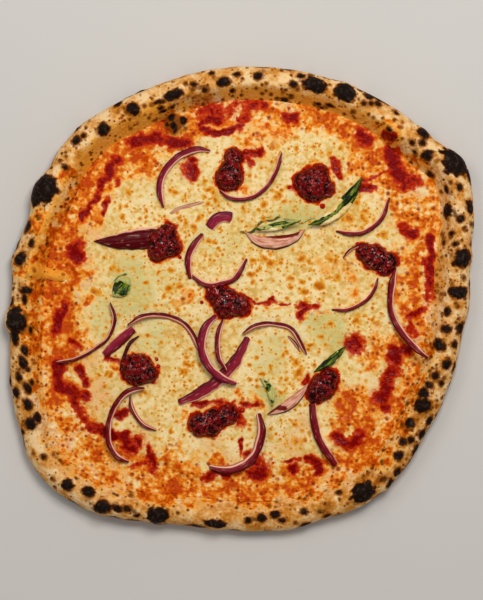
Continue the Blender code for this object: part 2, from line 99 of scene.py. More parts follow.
# Blisters that puffed up on the rim: x, y, length along the rim, width across it, rise.
BLISTERS = (
    (-137, 74, 26, 16, 6.0), (147, 95, 24, 17, 2.5), (51, 146, 19, 10, 2.0), (71, 141, 15, 13, 2.2),
    (152, 27, 12, 14, 2.0), (149, 4, 10, 14, 2.0), (124, -73, 13, 11, 2.0), (83, -133, 21, 12, 2.2),
    (-57, -150, 14, 14, 2.5), (-17, -155, 15, 8, 1.8), (-95, -144, 13, 11, 2.0), (-155, -15, 19, 14, 4.5),
    (-46, 139, 14, 8, 1.6), (-94, 115, 12, 9, 1.8), (-74, 129, 10, 10, 1.6), (-141, -84, 12, 11, 2.0),
    (125, 113, 11, 10, 1.8), (142, 60, 11, 11, 1.6), (135, -32, 10, 9, 1.4), (-119, -128, 10, 11, 1.5),
    (-104, -132, 10, 9, 1.4), (141, -45, 9, 9, 1.4), (-154, 27, 10, 10, 1.8), (115, -85, 10, 10, 1.4),
    (98, -129, 9, 9, 1.4), (14, -150, 11, 8, 1.4), (12, 152, 9, 8, 1.3), (-12, 148, 9, 9, 1.2),
)
# Bubbles of dough: x, y, radius, rise. The fold: its two ends, half width, rise.
BUBBLES = ((-45, 120, 12, 6.0), (101, 113, 9, 4.0))
FOLD = ((-153, 19), (-124, 15), 6.5, 3.8)
# Where the sauce stops short of the rim: angle, how far, over how many degrees.
DRAWN_BACK = ((110.5, 20, 8.5), (48, 4, 6), (173, 14, 4))

# Charred spots on the rim: x, y, size along the rim, size across it.
CHAR_SPOTS = (
    (-137, 74, 24, 18), (147, 95, 22, 20), (51, 146, 18, 11), (71, 141, 15, 13), (152, 27, 12, 14),
    (149, 4, 9, 14), (124, -73, 11, 12), (124, -65, 7, 9), (83, -133, 19, 15), (-57, -150, 14, 14),
    (-17, -155, 15, 6), (-95, -144, 12, 11), (-85, -144, 7, 5), (-155, -15, 19, 15), (-155, -27, 10, 6),
    (-46, 139, 14, 7), (-94, 115, 10, 9), (-74, 129, 9, 9), (-144, -86, 8, 8), (-139, -82, 7, 7),
    (-84, 133, 6, 5), (-68, 142, 8, 5), (-112, 116, 4, 4), (-113, 108, 6, 6), (-108, 111, 3, 3),
    (-12, 148, 8, 7), (12, 152, 6, 5), (30, 136, 5, 5), (36, 146, 5, 4), (41, 152, 5, 4),
    (87, 138, 5, 4), (125, 113, 9, 9), (127, 97, 7, 8), (130, 85, 5, 5), (141, 60, 10, 10),
    (157, 62, 9, 7), (150, 54, 4, 5), (136, 44, 4, 4), (144, 44, 3, 5), (139, 38, 3, 4),
    (146, 37, 3, 4), (157, 10, 4, 3), (141, -9, 5, 5), (140, -21, 5, 7), (150, -21, 8, 7),
    (135, -32, 8, 9), (146, -32, 5, 5), (141, -45, 7, 6), (146, -47, 5, 3), (133, -53, 5, 5),
    (137, -58, 4, 4), (128, -59, 4, 6), (144, -59, 5, 4), (138, -73, 3, 3), (115, -85, 7, 7),
    (129, -84, 6, 6), (124, -93, 6, 7), (111, -98, 5, 5), (116, -97, 5, 5), (120, -104, 7, 7),
    (108, -108, 6, 6), (107, -119, 6, 6), (102, -127, 6, 6), (67, -133, 4, 4), (43, -146, 4, 4),
    (59, -149, 4, 3), (23, -148, 7, 5), (14, -150, 6, 6), (5, -152, 4, 4), (28, -152, 4, 3),
    (44, -155, 6, 4), (-78, -144, 5, 4), (-71, -149, 3, 3), (-119, -128, 8, 8), (-104, -132, 9, 8),
    (-135, -109, 3, 3), (-144, -119, 5, 5), (-146, -73, 9, 6), (-150, -92, 4, 4), (-151, -101, 4, 4),
    (-146, -62, 7, 5), (-154, -65, 7, 6), (-152, -54, 6, 4), (-143, -58, 4, 4), (-159, -57, 10, 6),
    (-148, -36, 7, 4), (-149, -44, 9, 5), (-146, -49, 3, 3), (-144, -22, 4, 3), (-147, 5, 5, 8),
    (-148, -1, 7, 3), (-157, -3, 5, 3), (-151, 27, 9, 8), (-154, 36, 8, 6), (-143, 38, 6, 4),
    (-146, 49, 8, 5), (-126, 73, 3, 4), (-120, 89, 3, 4), (-32, 146, 4, 3), (-25, 142, 3, 3),
    (-20, 154, 3, 3), (-6, 142, 3, 4), (-3, 153, 5, 3), (53, 133, 4, 3), (55, 130, 3, 3),
    (61, 132, 5, 3), (84, 133, 3, 3), (89, 133, 3, 3), (94, 133, 4, 4), (106, 127, 4, 3),
    (117, 106, 4, 3), (124, 106, 4, 4), (119, 100, 3, 3), (141, 74, 5, 4), (149, 76, 5, 4),
    (156, 84, 9, 5), (101, 115, 4, 3), (-54, 134, 4, 2), (-55, 130, 3, 3), (-53, 128, 4, 3),
    (-47, 131, 3, 3), (-48, 124, 5, 4), (-46, 118, 4, 6), (-46, 113, 4, 3), (-41, 111, 5, 3),
    (-40, 122, 6, 5), (-37, 116, 3, 3), (-51, 119, 3, 3), (-52, 111, 6, 2), (-57, 134, 6, 2),
)
CHAR_FADE = 5.5  # how wide the brown ring round a charred spot is
SIDE_SPOTS = 64  # how many more spots the rim's outer side has
# Soft brown spots on the rim: x, y, size along the rim, size across it.
SOFT_BROWN_SPOTS = (
    (54, -146, 6, 6), (-86, -135, 6, 5), (-124, -112, 7, 6), (41, -145, 4, 4), (98, -124, 8, 6),
    (-59, 122, 8, 6), (-33, 147, 6, 4), (34, 139, 6, 5), (58, 131, 8, 5), (139, 41, 8, 4),
    (134, -55, 9, 5), (113, -91, 6, 5), (-148, -62, 12, 5), (-149, 0, 10, 5), (9, -151, 16, 5),
    (-44, 120, 12, 12), (-73, -146, 8, 4), (-113, 109, 8, 6), (-27, 144, 10, 4), (128, -97, 8, 5),
    (146, 58, 10, 5),
)

# Where the oven browned the rim evenly: strength, half width, points.
TOASTED = (
    (0.45, 5, ((3, 140), (24, 138), (48, 133), (66, 128), (84, 122))),
    (0.3, 9, ((-90, -132), (-40, -146), (10, -148), (60, -142))),
    (0.7, 5, ((-78, 126), (-64, 126), (-50, 133), (-22, 138))),
    (0.6, 6, ((-106, 98), (-98, 88), (-112, 72))),
    (0.8, 3, ((132, 42), (134, 20), (133, 0))),
    (0.6, 6, ((104, -112), (96, -122), (84, -124))),
    (0.5, 6, ((50, -140), (60, -146), (74, -138))),
    (0.5, 5, ((-128, -108), (-118, -118))),
    (0.5, 4, ((110, -100), (118, -88), (128, -70))),
)
# How far out the oil has soaked into the rim, and how strongly, every 30 degrees.
OIL_REACH = (135, 140, 148, 138, 143, 140, 151, 151, 145, 144, 146, 143)
OIL_STRENGTH = (0.45, 0.75, 0.7, 0.55, 0.95, 0.95, 0.95, 0.8, 0.75, 0.75, 0.7, 0.65)
# Specks on the rim: how many cells a metre has, size in the cell, share of cells, depth of colour.
RIM_SPECKS = ((210.0, 0.44, 0.3, 0.85), (300.0, 0.42, 0.42, 0.85), (480.0, 0.36, 0.4, 0.7))
# How thickly the rim is freckled, every 30 degrees.
FRECKLES = (0.7, 0.6, 0.6, 0.75, 0.5, 0.45, 0.7, 0.65, 0.35, 0.3, 0.55, 0.8)
# Oil on the bubbles and the fold of dough: strength, half width, points.
OILY_DOUGH = (
    (1.15, 8.5, ((-45, 121), (-49, 124))),
    (0.8, 10, ((101, 112),)),
    (0.6, 7, ((-152, 20), (-140, 17), (-128, 15))),
)
# Where the dough is golden with oil, and also painted lighter where slopes and bubbles face away from the
# key light and would be shaded: strength, half width, points.
GOLDEN_LIT_DOUGH = (
    (0.8, 5.0, ((-153, 20), (-140, 18), (-125, 16))),
    (1.1, 1.0, ((-151, 21), (-141, 20), (-131, 18))),
    (1.1, 2.2, ((-54, 113), (-48, 109), (-41, 109), (-35, 114), (-33, 120), (-35, 127), (-41, 131))),
    (1, 1.4, ((94, 110), (95, 116), (101, 119), (107, 117), (109, 111), (106, 105), (99, 104), (94, 110))),
    (1, 6.5, ((-106, 92), (-96, 103), (-84, 112), (-68, 121), (-56, 131))),
    (0.75, 5.5, ((-144, 36), (-138, 50), (-130, 68))),
    (0.7, 5.0, ((-8, 140), (30, 138), (60, 131), (88, 121))),
    (0.5, 5.0, ((-136, -40), (-134, -66), (-124, -92))),
    (0.5, 5.0, ((130, 60), (134, 40), (134, 10))),
)
# Sauce smeared on the bubbles: strength, half width, points.
SAUCE_ON_DOUGH = (
    (0.95, 3.6, ((99, 112), (104, 111))),
    (0.7, 1.8, ((99, 104), (101, 104))),
    (0.95, 2.8, ((-54, 129), (-53, 123))),
    (0.7, 3.0, ((-48, 117), (-44, 121))),
)

# Strokes where sauce shows through the cheese: strength, half width, points.
SAUCE_SHOWS = (
    (1, 3.4, ((-76, 108), (-62, 110), (-52, 108), (-38, 106))),
    (0.6, 5.5, ((-26, 128), (-13, 128))), (0.9, 2.2, ((-27, 121), (-16, 122))),
    (0.8, 3.4, ((-9, 128), (-5, 132))),
    (1, 1.8, ((-27, 116), (-18, 113), (-6, 115), (1, 119), (-2, 123))),
    (1, 3.1, ((-84, 95), (-91, 91), (-90, 85), (-95, 81))),
    (1, 1.8, ((-97, 78), (-99, 69), (-104, 62), (-111, 55))),
    (0.8, 1.2, ((-92, 69), (-95, 59))),
    (1, 5.5, ((-114, 33), (-113, 30))),
    (1, 4.8, ((-35, 91), (-35, 87))),
    (0.7, 2.1, ((-85, 80),)),
    (1, 3.4, ((32, 125), (36, 124))),
    (0.7, 2.7, ((-1, 117), (3, 124))),
    (0.7, 3.4, ((2, 133), (14, 133))),
    (0.8, 2.4, ((6, 100), (13, 100))),
    (1, 4.1, ((104, 102), (105, 91), (109, 84), (113, 78), (119, 79))),
    (0.75, 4.1, ((82, 112), (86, 108))),
    (0.8, 1.1, ((83, 80), (89, 82), (95, 85), (100, 87))),
    (1, 2.4, ((82, 76), (91, 76))),
    (0.9, 3.4, ((111, 48), (117, 44))),
    (1, 2.3, ((130, 41), (131, 26), (130, 9), (129, -1))),
    (0.8, 2.7, ((126, 25), (128, 16))),
    (1, 2.7, ((-122, -5), (-126, -14), (-127, -23))),
    (1, 3.4, ((-126, -45), (-126, -55), (-123, -62), (-114, -65), (-108, -68))),
    (1, 2.9, ((-116, -69), (-112, -77), (-108, -84), (-103, -90), (-93, -92), (-88, -95))),
    (1, 3.4, ((-82, -95), (-76, -98), (-71, -98))),
    (1, 3.4, ((-78, -102), (-74, -104))),
    (1, 2.4, ((-63, -104), (-62, -112), (-60, -118))),
    (0.8, 1.8, ((-73, -115), (-66, -113))),
    (1, 2.9, ((-84, -80), (-79, -78))),
    (0.8, 2.2, ((-111, -48), (-107, -58))),
    (0.8, 2.2, ((-117, -30), (-111, -33))),
    (0.9, 1.6, ((-93, -41), (-84, -44))),
    (1, 2.7, ((-25, -124), (-18, -119), (-10, -122))),
    (0.8, 1.6, ((-1, -98), (0, -108))),
    (1, 4.8, ((8, -111), (14, -117), (10, -120))),
    (0.85, 3.4, ((36, -118),)),
    (1, 2.7, ((46, -110), (52, -113), (53, -120))),
    (0.8, 4.1, ((67, -96), (75, -101), (81, -95))),
    (1, 4.1, ((104, -37), (106, -46), (101, -55), (98, -65), (95, -69))),
    (0.9, 3.1, ((100, -76),)),
    (0.9, 3.4, ((111, -36), (115, -36))),
    (1, 4.5, ((76, -30), (80, -33))),
    (1, 2.1, ((40, -5), (52, -5), (43, -9), (40, -13))),
    (0.8, 1.0, ((6, -2), (10, -3), (16, -4), (23, -1), (30, -5), (33, -4))),
    (1, 1.6, ((0, -73), (11, -73))),
    (0.9, 2.1, ((-1, -78), (-1, -87))),
    (0.8, 1.8, ((115, -13), (120, -11), (127, -8))),
    (0.6, 1.0, ((23, -113), (41, -111))),
    (0.75, 3.4, ((115, -21), (120, -26))),
    (0.8, 2.1, ((68, 84),)),
    (0.7, 2.4, ((3, 98), (6, 93))),
    (0.8, 2.1, ((38, 76), (34, 76))),
    (0.75, 2.4, ((63, 94), (67, 88))),
    (0.8, 2.1, ((43, -58), (46, -55))),
    (0.7, 1.8, ((-32, -73), (-18, -71), (-6, -73))),
)
# Strokes of orange oil on the cheese: strength, half width, points.
OILY = (
    (0.75, 9.6, ((-138, 50), (-135, 25), (-137, -1), (-135, -32), (-138, -60))),
    (0.7, 15.1, ((-123, -12), (-117, -32))),
    (0.75, 11.0, ((-124, -70), (-116, -91), (-98, -108))),
    (0.55, 9.6, ((-124, -101), (-104, -118), (-83, -130))),
    (0.7, 15.1, ((-52, -118), (-35, -122))),
    (0.8, 8.9, ((-62, -133), (-28, -133), (6, -132), (47, -130))),
    (0.6, 6.9, ((-18, -113), (-1, -124), (34, -122))),
    (0.6, 9.6, ((61, -113), (75, -113))),
    (0.8, 15.1, ((85, -91), (92, -104))),
    (0.75, 12.4, ((78, -73), (71, -87))),
    (0.8, 9.6, ((109, -29), (116, -49), (109, -73), (102, -91))),
    (0.6, 9.6, ((89, -44), (99, -32))),
    (0.75, 8.2, ((117, -12), (119, 5), (120, 33), (119, 57))),
    (0.6, 8.2, ((109, 5), (111, 30))),
    (0.8, 10.3, ((109, 67), (108, 88), (99, 98))),
    (0.7, 9.6, ((92, 81), (82, 95))),
    (0.65, 8.2, ((101, 112), (85, 112))),
    (0.55, 6.9, ((68, 124), (82, 121))),
    (0.5, 8.9, ((10, 126), (30, 115))),
    (0.5, 8.2, ((3, 112), (13, 102))),
    (0.85, 11.0, ((-80, 95), (-62, 91))),
    (0.85, 9.6, ((-117, 81), (-100, 84), (-90, 102))),
    (0.75, 9.6, ((-121, 57), (-108, 57), (-124, 43))),
    (0.7, 9.6, ((-76, 115), (-52, 122))),
    (0.6, 6.2, ((-38, 129), (-28, 128))),
    (0.7, 3.4, ((71, 91), (75, 81))),
    (0.55, 2.7, ((71, 27), (80, 26))),
    (0.6, 3.4, ((-91, -44), (-83, -47))),
    (0.5, 2.7, ((-37, -77), (-38, -87))),
    (0.6, 2.7, ((3, 76), (6, 74))),
    (0.55, 2.7, ((45, -53), (42, -60))),
    (0.6, 3.4, ((-104, -3), (-100, -1))),
    (0.5, 3.4, ((-44, -1), (-35, 2))),
    (0.35, 4.1, ((54, 23), (61, 21))),
    (0.4, 2.7, ((38, -10), (56, -10))),
    (0.35, 2.1, ((6, -5), (34, -7))),
    (0.5, 4.1, ((-1, -67), (14, -73))),
    (0.45, 5.5, ((14, -108), (23, -113))),
    (0.4, 6.2, ((71, 19), (76, 5))),
    (0.4, 6.2, ((-97, -98), (-93, -104))),
    (0.4, 4.8, ((-111, 25), (-100, 16))),
    (0.55, 6.0, ((118, 98), (128, 80), (131, 60), (133, 40), (133, 18))),
)
# Strokes where the cheese is thin and the sauce tints it.
THIN_CHEESE = (
    (0.7, 12.4, ((-114, 74), (-107, 50))),
    (0.6, 9.6, ((-112, 19), (-109, 9))),
    (0.8, 12.4, ((75, -70), (99, -73))),
    (0.7, 8.2, ((117, 23), (116, 9))),
    (0.7, 11.0, ((10, 122), (27, 119))),
    (0.6, 9.6, ((92, 102), (85, 91))),
    (0.6, 8.2, ((-69, -101), (-66, -91))),
    (0.6, 9.6, ((-97, -70), (-102, -60))),
    (0.7, 8.2, ((-114, -36), (-107, -43))),
    (0.5, 8.2, ((-21, -101), (-14, -108))),
    (0.6, 6.9, ((-18, 119), (-4, 121))),
    (0.5, 9.6, ((41, -91), (34, -101))),
)
# Strokes where basil under the cheese tints it green. A strength above 1 shows threads of the leaf.
GREEN_TINT = (
    (0.9, 6.2, ((-82, 7),)),
    (0.6, 13.7, ((-76, 16), (-73, -1))),
    (0.5, 9.6, ((-93, -5), (-95, -19))),
    (0.5, 12.4, ((-59, -19), (-62, -32))),
    (0.7, 8.9, ((25, 52), (44, 57))),
    (0.45, 12.4, ((41, 64), (58, 64))),
    (0.6, 9.6, ((47, -16), (67, -22))),
    (0.6, 6.9, ((65, -29), (68, -36))),
    (0.7, 8.2, ((16, -65), (21, -70))),
    (0.45, 13.7, ((16, -43), (23, -36))),
    (0.4, 9.6, ((-25, 43), (-9, 36))),
    (0.4, 8.2, ((-62, 16), (-49, 9))),
    (2.0, 1.1, ((-2, 45), (6, 47), (13, 50), (20, 53), (27, 55))),
    (1.8, 0.9, ((29, 53), (38, 55), (48, 54))),
    (1.7, 0.9, ((14, 53), (20, 56))),
    (1.6, 1.0, ((-86, 12), (-81, 16))),
    (1.6, 0.8, ((10, -62), (15, -60), (17, -54))),
)
# Strokes where small golden spots stand close together.
SPOTTED = (
    (1, 11.0, ((41, 25), (65, 21))),
    (1, 8.2, ((14, 27), (23, 25))),
    (0.9, 9.6, ((-42, -1), (-35, 12))),
    (0.8, 8.2, ((-25, 27), (-18, 36))),
    (0.8, 8.2, ((-18, 71), (-21, 57))),
    (0.8, 8.2, ((-83, 67), (-66, 59))),
    (0.8, 11.0, ((34, 102), (47, 108))),
    (0.9, 9.6, ((78, 64), (85, 57))),
    (0.9, 11.0, ((75, -15), (95, -22))),
    (0.7, 11.0, ((34, 5), (47, 9))),
    (0.7, 9.6, ((-38, -46), (-38, -60))),
    (0.6, 8.2, ((-100, -80), (-93, -70))),
    (0.7, 8.2, ((41, -43), (34, -53))),
    (0.8, 9.6, ((23, 71), (16, 64))),
    (0.7, 8.2, ((37, -94), (34, -87))),
    (0.8, 8.2, ((82, 30), (75, 16))),
    (0.8, 8.2, ((-38, 43), (-41, 54))),
)
# Golden specks on the cheese: how many cells a metre has, size in the cell, depth of colour.
CHEESE_SPECKS = ((200.0, 0.3, 0.95), (300.0, 0.32, 0.95), (420.0, 0.34, 0.8))
CURDS = 260.0  # how many curds of cheese a metre has where oil has soaked in
# Larger browned spots on the cheese: x, y, radius.
GOLD_SPOTS = (
    (16, 65, 2.1), (30, 66, 2.1), (26, 71, 2.4), (23, 69, 1.7), (1, 61, 1.7), (12, 61, 1.7),
    (-18, 67, 2.1), (-19, 73, 2.1), (-24, 80, 1.7), (-23, 75, 2.1), (-32, 48, 2.7), (-29, 54, 2.1),
    (-38, 52, 2.1), (-22, 40, 2.1), (-17, 38, 1.7), (-16, 33, 1.7), (-76, 73, 2.4), (-81, 56, 2.1),
    (-65, 60, 1.7), (-82, 63, 1.7), (-65, 56, 1.7), (-38, 69, 1.4), (-38, 71, 1.4), (-45, 72, 2.1),
    (-94, 62, 1.4), (6, 16, 2.1), (42, 27, 2.4), (34, 14, 2.4), (43, 11, 2.1), (54, 8, 3.1),
    (43, 5, 2.4), (33, 7, 1.7), (45, -1, 2.1), (20, 25, 2.7), (16, 27, 2.4), (13, 21, 1.7),
    (67, 14, 2.1), (61, -17, 2.1), (58, 21, 2.4), (60, 100, 2.1), (52, 93, 1.7), (38, 103, 1.7),
    (75, 54, 3.1), (85, 55, 2.4), (85, 60, 2.1), (98, 44, 2.7), (94, 43, 2.1), (70, 54, 1.7),
    (61, 27, 2.1), (54, 25, 2.1), (47, 25, 2.1), (65, 25, 2.1), (109, -3, 2.1), (92, -17, 2.4),
    (91, -14, 1.7), (74, -30, 2.1), (80, -16, 2.1), (85, -12, 1.7), (89, -30, 2.1), (39, -51, 3.1),
    (37, -44, 2.1), (24, -3, 1.7), (32, -37, 2.1), (48, -32, 2.1), (27, -65, 1.7), (37, -87, 2.1),
    (38, -98, 3.1), (43, -98, 1.7), (47, -94, 1.7), (-38, -51, 2.1), (-37, -46, 2.1),
    (-41, -51, 2.1), (-49, -91, 1.7), (-45, -86, 1.7), (-66, -65, 1.7), (-90, -53, 2.1),
    (-93, -51, 1.7), (-98, -53, 2.1), (-112, -51, 2.7), (-104, -56, 2.1), (-84, 19, 2.1),
    (-88, 21, 1.7), (-100, 4, 3.1), (-108, -1, 2.4), (-42, 8, 2.1), (-49, 7, 2.4), (-37, 4, 2.4),
    (-39, -2, 2.7), (-45, -3, 2.4), (-51, 1, 1.7), (-65, 10, 1.7), (-55, 18, 1.7), (-49, 19, 2.4),
    (-59, -5, 1.7), (-43, -8, 1.7), (58, -32, 1.4), (54, -27, 1.7), (13, -30, 1.4), (14, -52, 1.7),
    (21, -48, 1.4), (29, -40, 1.7), (34, -59, 1.4), (30, -63, 1.4), (8, 11, 2.1), (8, 25, 1.7),
    (31, 76, 1.7), (71, 60, 2.1), (83, 48, 1.7), (80, 66, 1.7), (49, 93, 1.4), (68, 102, 1.7),
    (73, 105, 2.1), (34, 114, 2.1), (44, 115, 1.7), (38, 111, 2.1), (52, 113, 1.4), (30, 108, 1.7),
    (23, 107, 2.7), (21, 104, 2.1),
)

# Dollops of nduja in order, each a few round lumps run together: x, y, radius, rise.
DOLLOPS = (
    ((-7, 89, 7, 5.5), (-5, 97, 6.5, 6), (-8, 83, 9.5, 7.5)),
    ((50, 78, 12, 8), (42, 80, 6.5, 6), (58, 75, 6.5, 6), (54, 86, 6, 6)),
    ((-54, 38, 11, 7.5), (-58, 31, 6, 6), (-50, 46, 6, 6), (-47, 35, 6, 5)),
    ((92, 28, 9, 7.5), (85, 31, 6, 5), (101, 25, 7, 6.5), (99, 20, 5, 4)),
    ((-10, -3, 10, 7.5), (-17, 3, 7, 6), (-2, -5, 8, 6), (-12, -9, 5, 4)),
    ((-71, -49, 11, 8), (-77, -45, 6, 5), (-64, -52, 7, 6)),
    ((-19, -84, 8.5, 6), (-28, -87, 8.5, 6.5), (-9, -80, 7.5, 6), (-20, -90, 5.5, 5)),
    ((56, -61, 9.5, 8), (60, -55, 7, 6), (52, -66, 7, 6)),
)
# Crumbs of nduja that lie beside each dollop: x, y, radius.
NDUJA_CRUMBS = (
    ((3, 101, 1.8), (5, 96, 1.4)),
    ((56, 63, 2.0), (68, 83, 1.6), (33, 76, 1.3)),
    ((-42, 28, 1.4),),
    ((80, 37, 1.6),),
    ((-27, -3, 1.4),),
    ((-58, -42, 1.4), (-57, -47, 1.6)),
    ((-34, -80, 1.4), (1, -77, 1.8)),
    ((44, -58, 1.7), (67, -53, 1.5)),
)
DOLLOP_EDGE = 0.9  # how thick a dollop is at its edge
DOLLOP_SUNK = 1.9  # how deep its middle has sunk into the cheese
LUMP_POWER = 5  # the higher, the sharper the valleys between its lumps
DOLLOP_UNEVEN = 0.10
DOLLOP_RAGGED = 0.09
DOLLOP_SIDES = 150
DOLLOP_ROWS = 76
CRUMB_LIFT = 10  # crumbs are kept this high above the dollop until they are laid down
CRUMB_HEIGHT = 0.75  # as a share of their width

# Strips of red onion in order: width, height, side of the skin (1 left, -1 right), share of the inner film
# (above 1 pale all over), tone (1 magenta, 0 purple, -1 dark skin), width at the ends as a share,
# points along the middle.
ONION_STRIPS = (
    (4.8, 3.6, 1, 0.25, 0.6, 0.45, ((-53, 62), (-56, 74), (-53, 86), (-43, 97), (-30, 102), (-21, 101))),
    (3.4, 3.4, -1, 0.2, 0.2, 0.45, ((-15, 74), (-8, 69), (3, 68), (14, 73), (23, 85), (28, 100))),
    (9.0, 2.6, 1, 0.0, 1.0, 0.8, ((-22, 48), (-17, 54), (-11, 56), (-6, 55))),
    (4.8, 3.4, -1, 0.15, 0.1, 0.6, ((-26, 44), (-32, 37), (-36, 28), (-36, 20), (-34.5, 13))),
    (4.1, 3.0, -1, 0.2, 0.0, 0.6, ((-34, 15.5), (-24, 9), (-14, 10), (-4, 14), (4, 27))),
    (3.4, 3.2, -1, 0.15, 0.0, 0.45, ((65, 46), (76, 44), (86, 46), (96, 54), (102, 69))),
    (2.2, 2.2, 1, 0.5, 0.0, 0.45, ((70, 27), (75, 33), (82, 36), (89, 37))),
    (2.8, 2.6, -1, 0.1, 0.0, 0.45, ((62, -8), (73, -8), (84, -3), (91, 5), (94, 14))),
    (4.8, 3.6, -1, 0.2, -0.1, 0.45, ((106, 21), (103, 5), (103, -9), (109, -22), (119, -34), (128, -41))),
    (2.8, 2.8, 1, 0.3, -0.3, 0.45,
     ((-90, -3), (-87, -14), (-91, -27), (-101, -35), (-114, -42), (-127, -44))),
    (3.8, 3.4, 1, 0.6, 0.2, 0.45, ((-78, -19), (-68, -13), (-54, -12), (-42, -16), (-34, -24), (-28, -38))),
    (2.8, 2.6, -1, 0.0, -0.9, 0.45, ((-70, -26), (-77, -32), (-81, -43), (-83, -50))),
    (4.1, 3.4, -1, 0.25, -0.2, 0.45,
     ((-66, -62), (-74, -63), (-82, -68), (-90, -82), (-91, -97), (-86, -108), (-77, -113))),
    (3.4, 3.0, -1, 0.5, 0.1, 0.45, ((-76, -67), (-75, -76), (-68, -86), (-58, -91))),
    (8.2, 2.4, -1, 0.0, 0.5, 0.6, ((5, -27), (-3, -42), (-14, -55), (-28, -65), (-43, -72))),
    (6.0, 3.6, -1, 0.15, 0.7, 0.6, ((-17, -12), (-25, -21), (-27, -35), (-22, -47), (-13, -55), (-3, -59))),
    (3.8, 3.2, -1, 0.3, 0.1, 0.5, ((-12, -14), (-16, -27), (-15, -41), (-10, -50))),
    (3.4, 3.2, 1, 0.5, 0.4, 0.45, ((1, -25), (10, -19), (23, -18), (35, -22), (45, -39))),
    (2.4, 2.0, 1, 0.7, 0.2, 0.45, ((32, -26), (37, -31), (40, -37))),
    (6.2, 3.6, 1, 0.35, 0.1, 0.6, ((12, -79), (14, -92), (10, -106), (1, -115), (-10, -118), (-22, -116))),
    (5.5, 3.6, -1, 0.0, -0.2, 0.85, ((49, -72), (50, -84), (54, -98), (65, -115))),
    (2.2, 1.4, 1, 1.2, 0.0, 0.45, ((-49, 58), (-41, 62), (-25, 66))),
)
STRIP_SECTION_POINTS = 18
STRIP_SPACING = 0.8
STRIP_TAPER = 2.5
STRIP_END_HEIGHT = 0.67
SQUARENESS = 0.7  # a power below 1 turns the round section of a strip to a squarer one

# Flat pieces of onion: outline, width, thickness, rise of the middle, tone, paleness, points.
ONION_SHEETS = (
    ("petal", 15, 1.6, 2.6, -0.6, 0.0, ((-101, 39), (-84, 39), (-66, 41), (-50, 43))),
    ("crescent", 9.5, 1.6, 1.2, 0.2, 1.0, ((3, 45), (12, 39), (24, 38), (36, 41), (44, 47))),
    ("band", 7.5, 1.6, 1.4, 1.0, 0.0, ((-94, -39), (-84, -30), (-74, -21))),
    ("crescent", 7.5, 1.6, 1.2, 0.2, 1.0, ((18, -80), (30, -75), (40, -67), (46, -59))),
)
# Strokes where a flat piece of onion is dark red or cooked brown.
MAROON_STROKES = (
    (0.9, 2.4, ((18, 44), (28, 43), (38, 45))), (0.6, 0.9, ((4, 46), (12, 44))),
    (0.7, 1.8, ((19, -78), (24, -75), (30, -76))), (0.4, 1.6, ((37, -65), (43, -60))),
    (0.45, 1.4, ((-93, -41), (-86, -34), (-78, -27))),
)
# Leaves: outline, width, thickness, rise of the middle, veil of cheese over them, points.
BASIL_LEAVES = (
    ("crescent", 9.5, 0.8, 1.8, 0.0, ((83, 83), (78, 74), (71, 65), (64, 58), (56, 53), (46, 50))),
    ("crescent", 5.5, 0.8, 0.8, 0.5, ((8, 47), (18, 48), (28, 50), (41, 53))),
    ("crescent", 12, 0.8, 1.0, 1.0, ((-88, 1), (-82, 7), (-77, 14))),
    ("crescent", 6, 0.8, 1.2, 0.0, ((50, -51), (62, -43), (72, -33))),
    ("crescent", 5, 0.8, 0.8, 1.0, ((13, -55), (20, -63), (22, -74))),
)
# Strokes where cheese has run over a leaf.
LEAF_COVERED = (
    (1, 2.2, ((75, 63), (66, 55), (56, 49))), (0.9, 1.6, ((68, 67), (62, 60), (52, 55))),
    (0.7, 1.0, ((61, -49), (68, -42), (73, -36))), (0.8, 1.2, ((10, 45), (18, 46), (27, 47.5))),
)
# Strokes where a leaf under the cheese shows, and where a leaf is almost black.
LEAF_SHOWS = (
    (1, 5.0, ((-84, 7), (-81, 6))), (1, 1.6, ((17, -57),)), (1, 2.2, ((15, -66), (19, -61))),
    (1, 1.3, ((21, -71),)), (0.4, 1.0, ((9, 47), (18, 46), (28, 48), (40, 52))),
    (0.3, 1.0, ((20, 50), (30, 52))),
)
LEAF_BLACK = (
    (1, 2.8, ((71, 72), (74, 76))), (0.8, 1.2, ((60, 61), (64, 60))), (0.7, 1.6, ((70, 62), (75, 69))),
    (0.8, 1.8, ((56, -46), (58, -44))), (0.6, 1.2, ((15, -66), (18, -62))),
)
SHEET_STATIONS = 64
SHEET_COLUMNS = 20
SHEET_LEAST_WIDTH = 1.0
LEAF_WAVE = 0.5
SINK = 0.8  # how deep an onion strip sits in what lies under it
CURVE_STEPS = 12

LAYER_SQUARE = 140  # half the side of the grid that a layer is cut from
LAYER_SURE = 100  # every point this near the middle stays in a layer

# Lamps by name and the camera's place over the floor, in metres.
LAMP_PLACES = {"key": (0.25, 0.56, 1.26), "fill": (-0.6, 0.55, 1.1)}
LAMP_SIZE = 0.5
FLOOR_REACH = 3
CAMERA_PLACE = (0.0003, -0.0014)


# ---------------------------------------------------------------- properties


def srgb(red, green, blue):
    """The linear colour of an sRGB colour whose channels run from 0 to 255."""
    shares = [channel / 255 for channel in (red, green, blue)]
    return tuple(s / 12.92 if s <= 0.04045 else ((s + 0.055) / 1.055) ** 2.4 for s in shares)


def colour(name, description, *channels):
    return FloatVectorProperty(
        name=name, description=description, subtype="COLOR", size=3, min=0, max=1,
        default=srgb(*channels),
    )


def length(name, description, millimetres):
    return FloatProperty(
        name=name, description=description, unit="LENGTH", min=0, precision=4,
        default=millimetres * MM,
    )


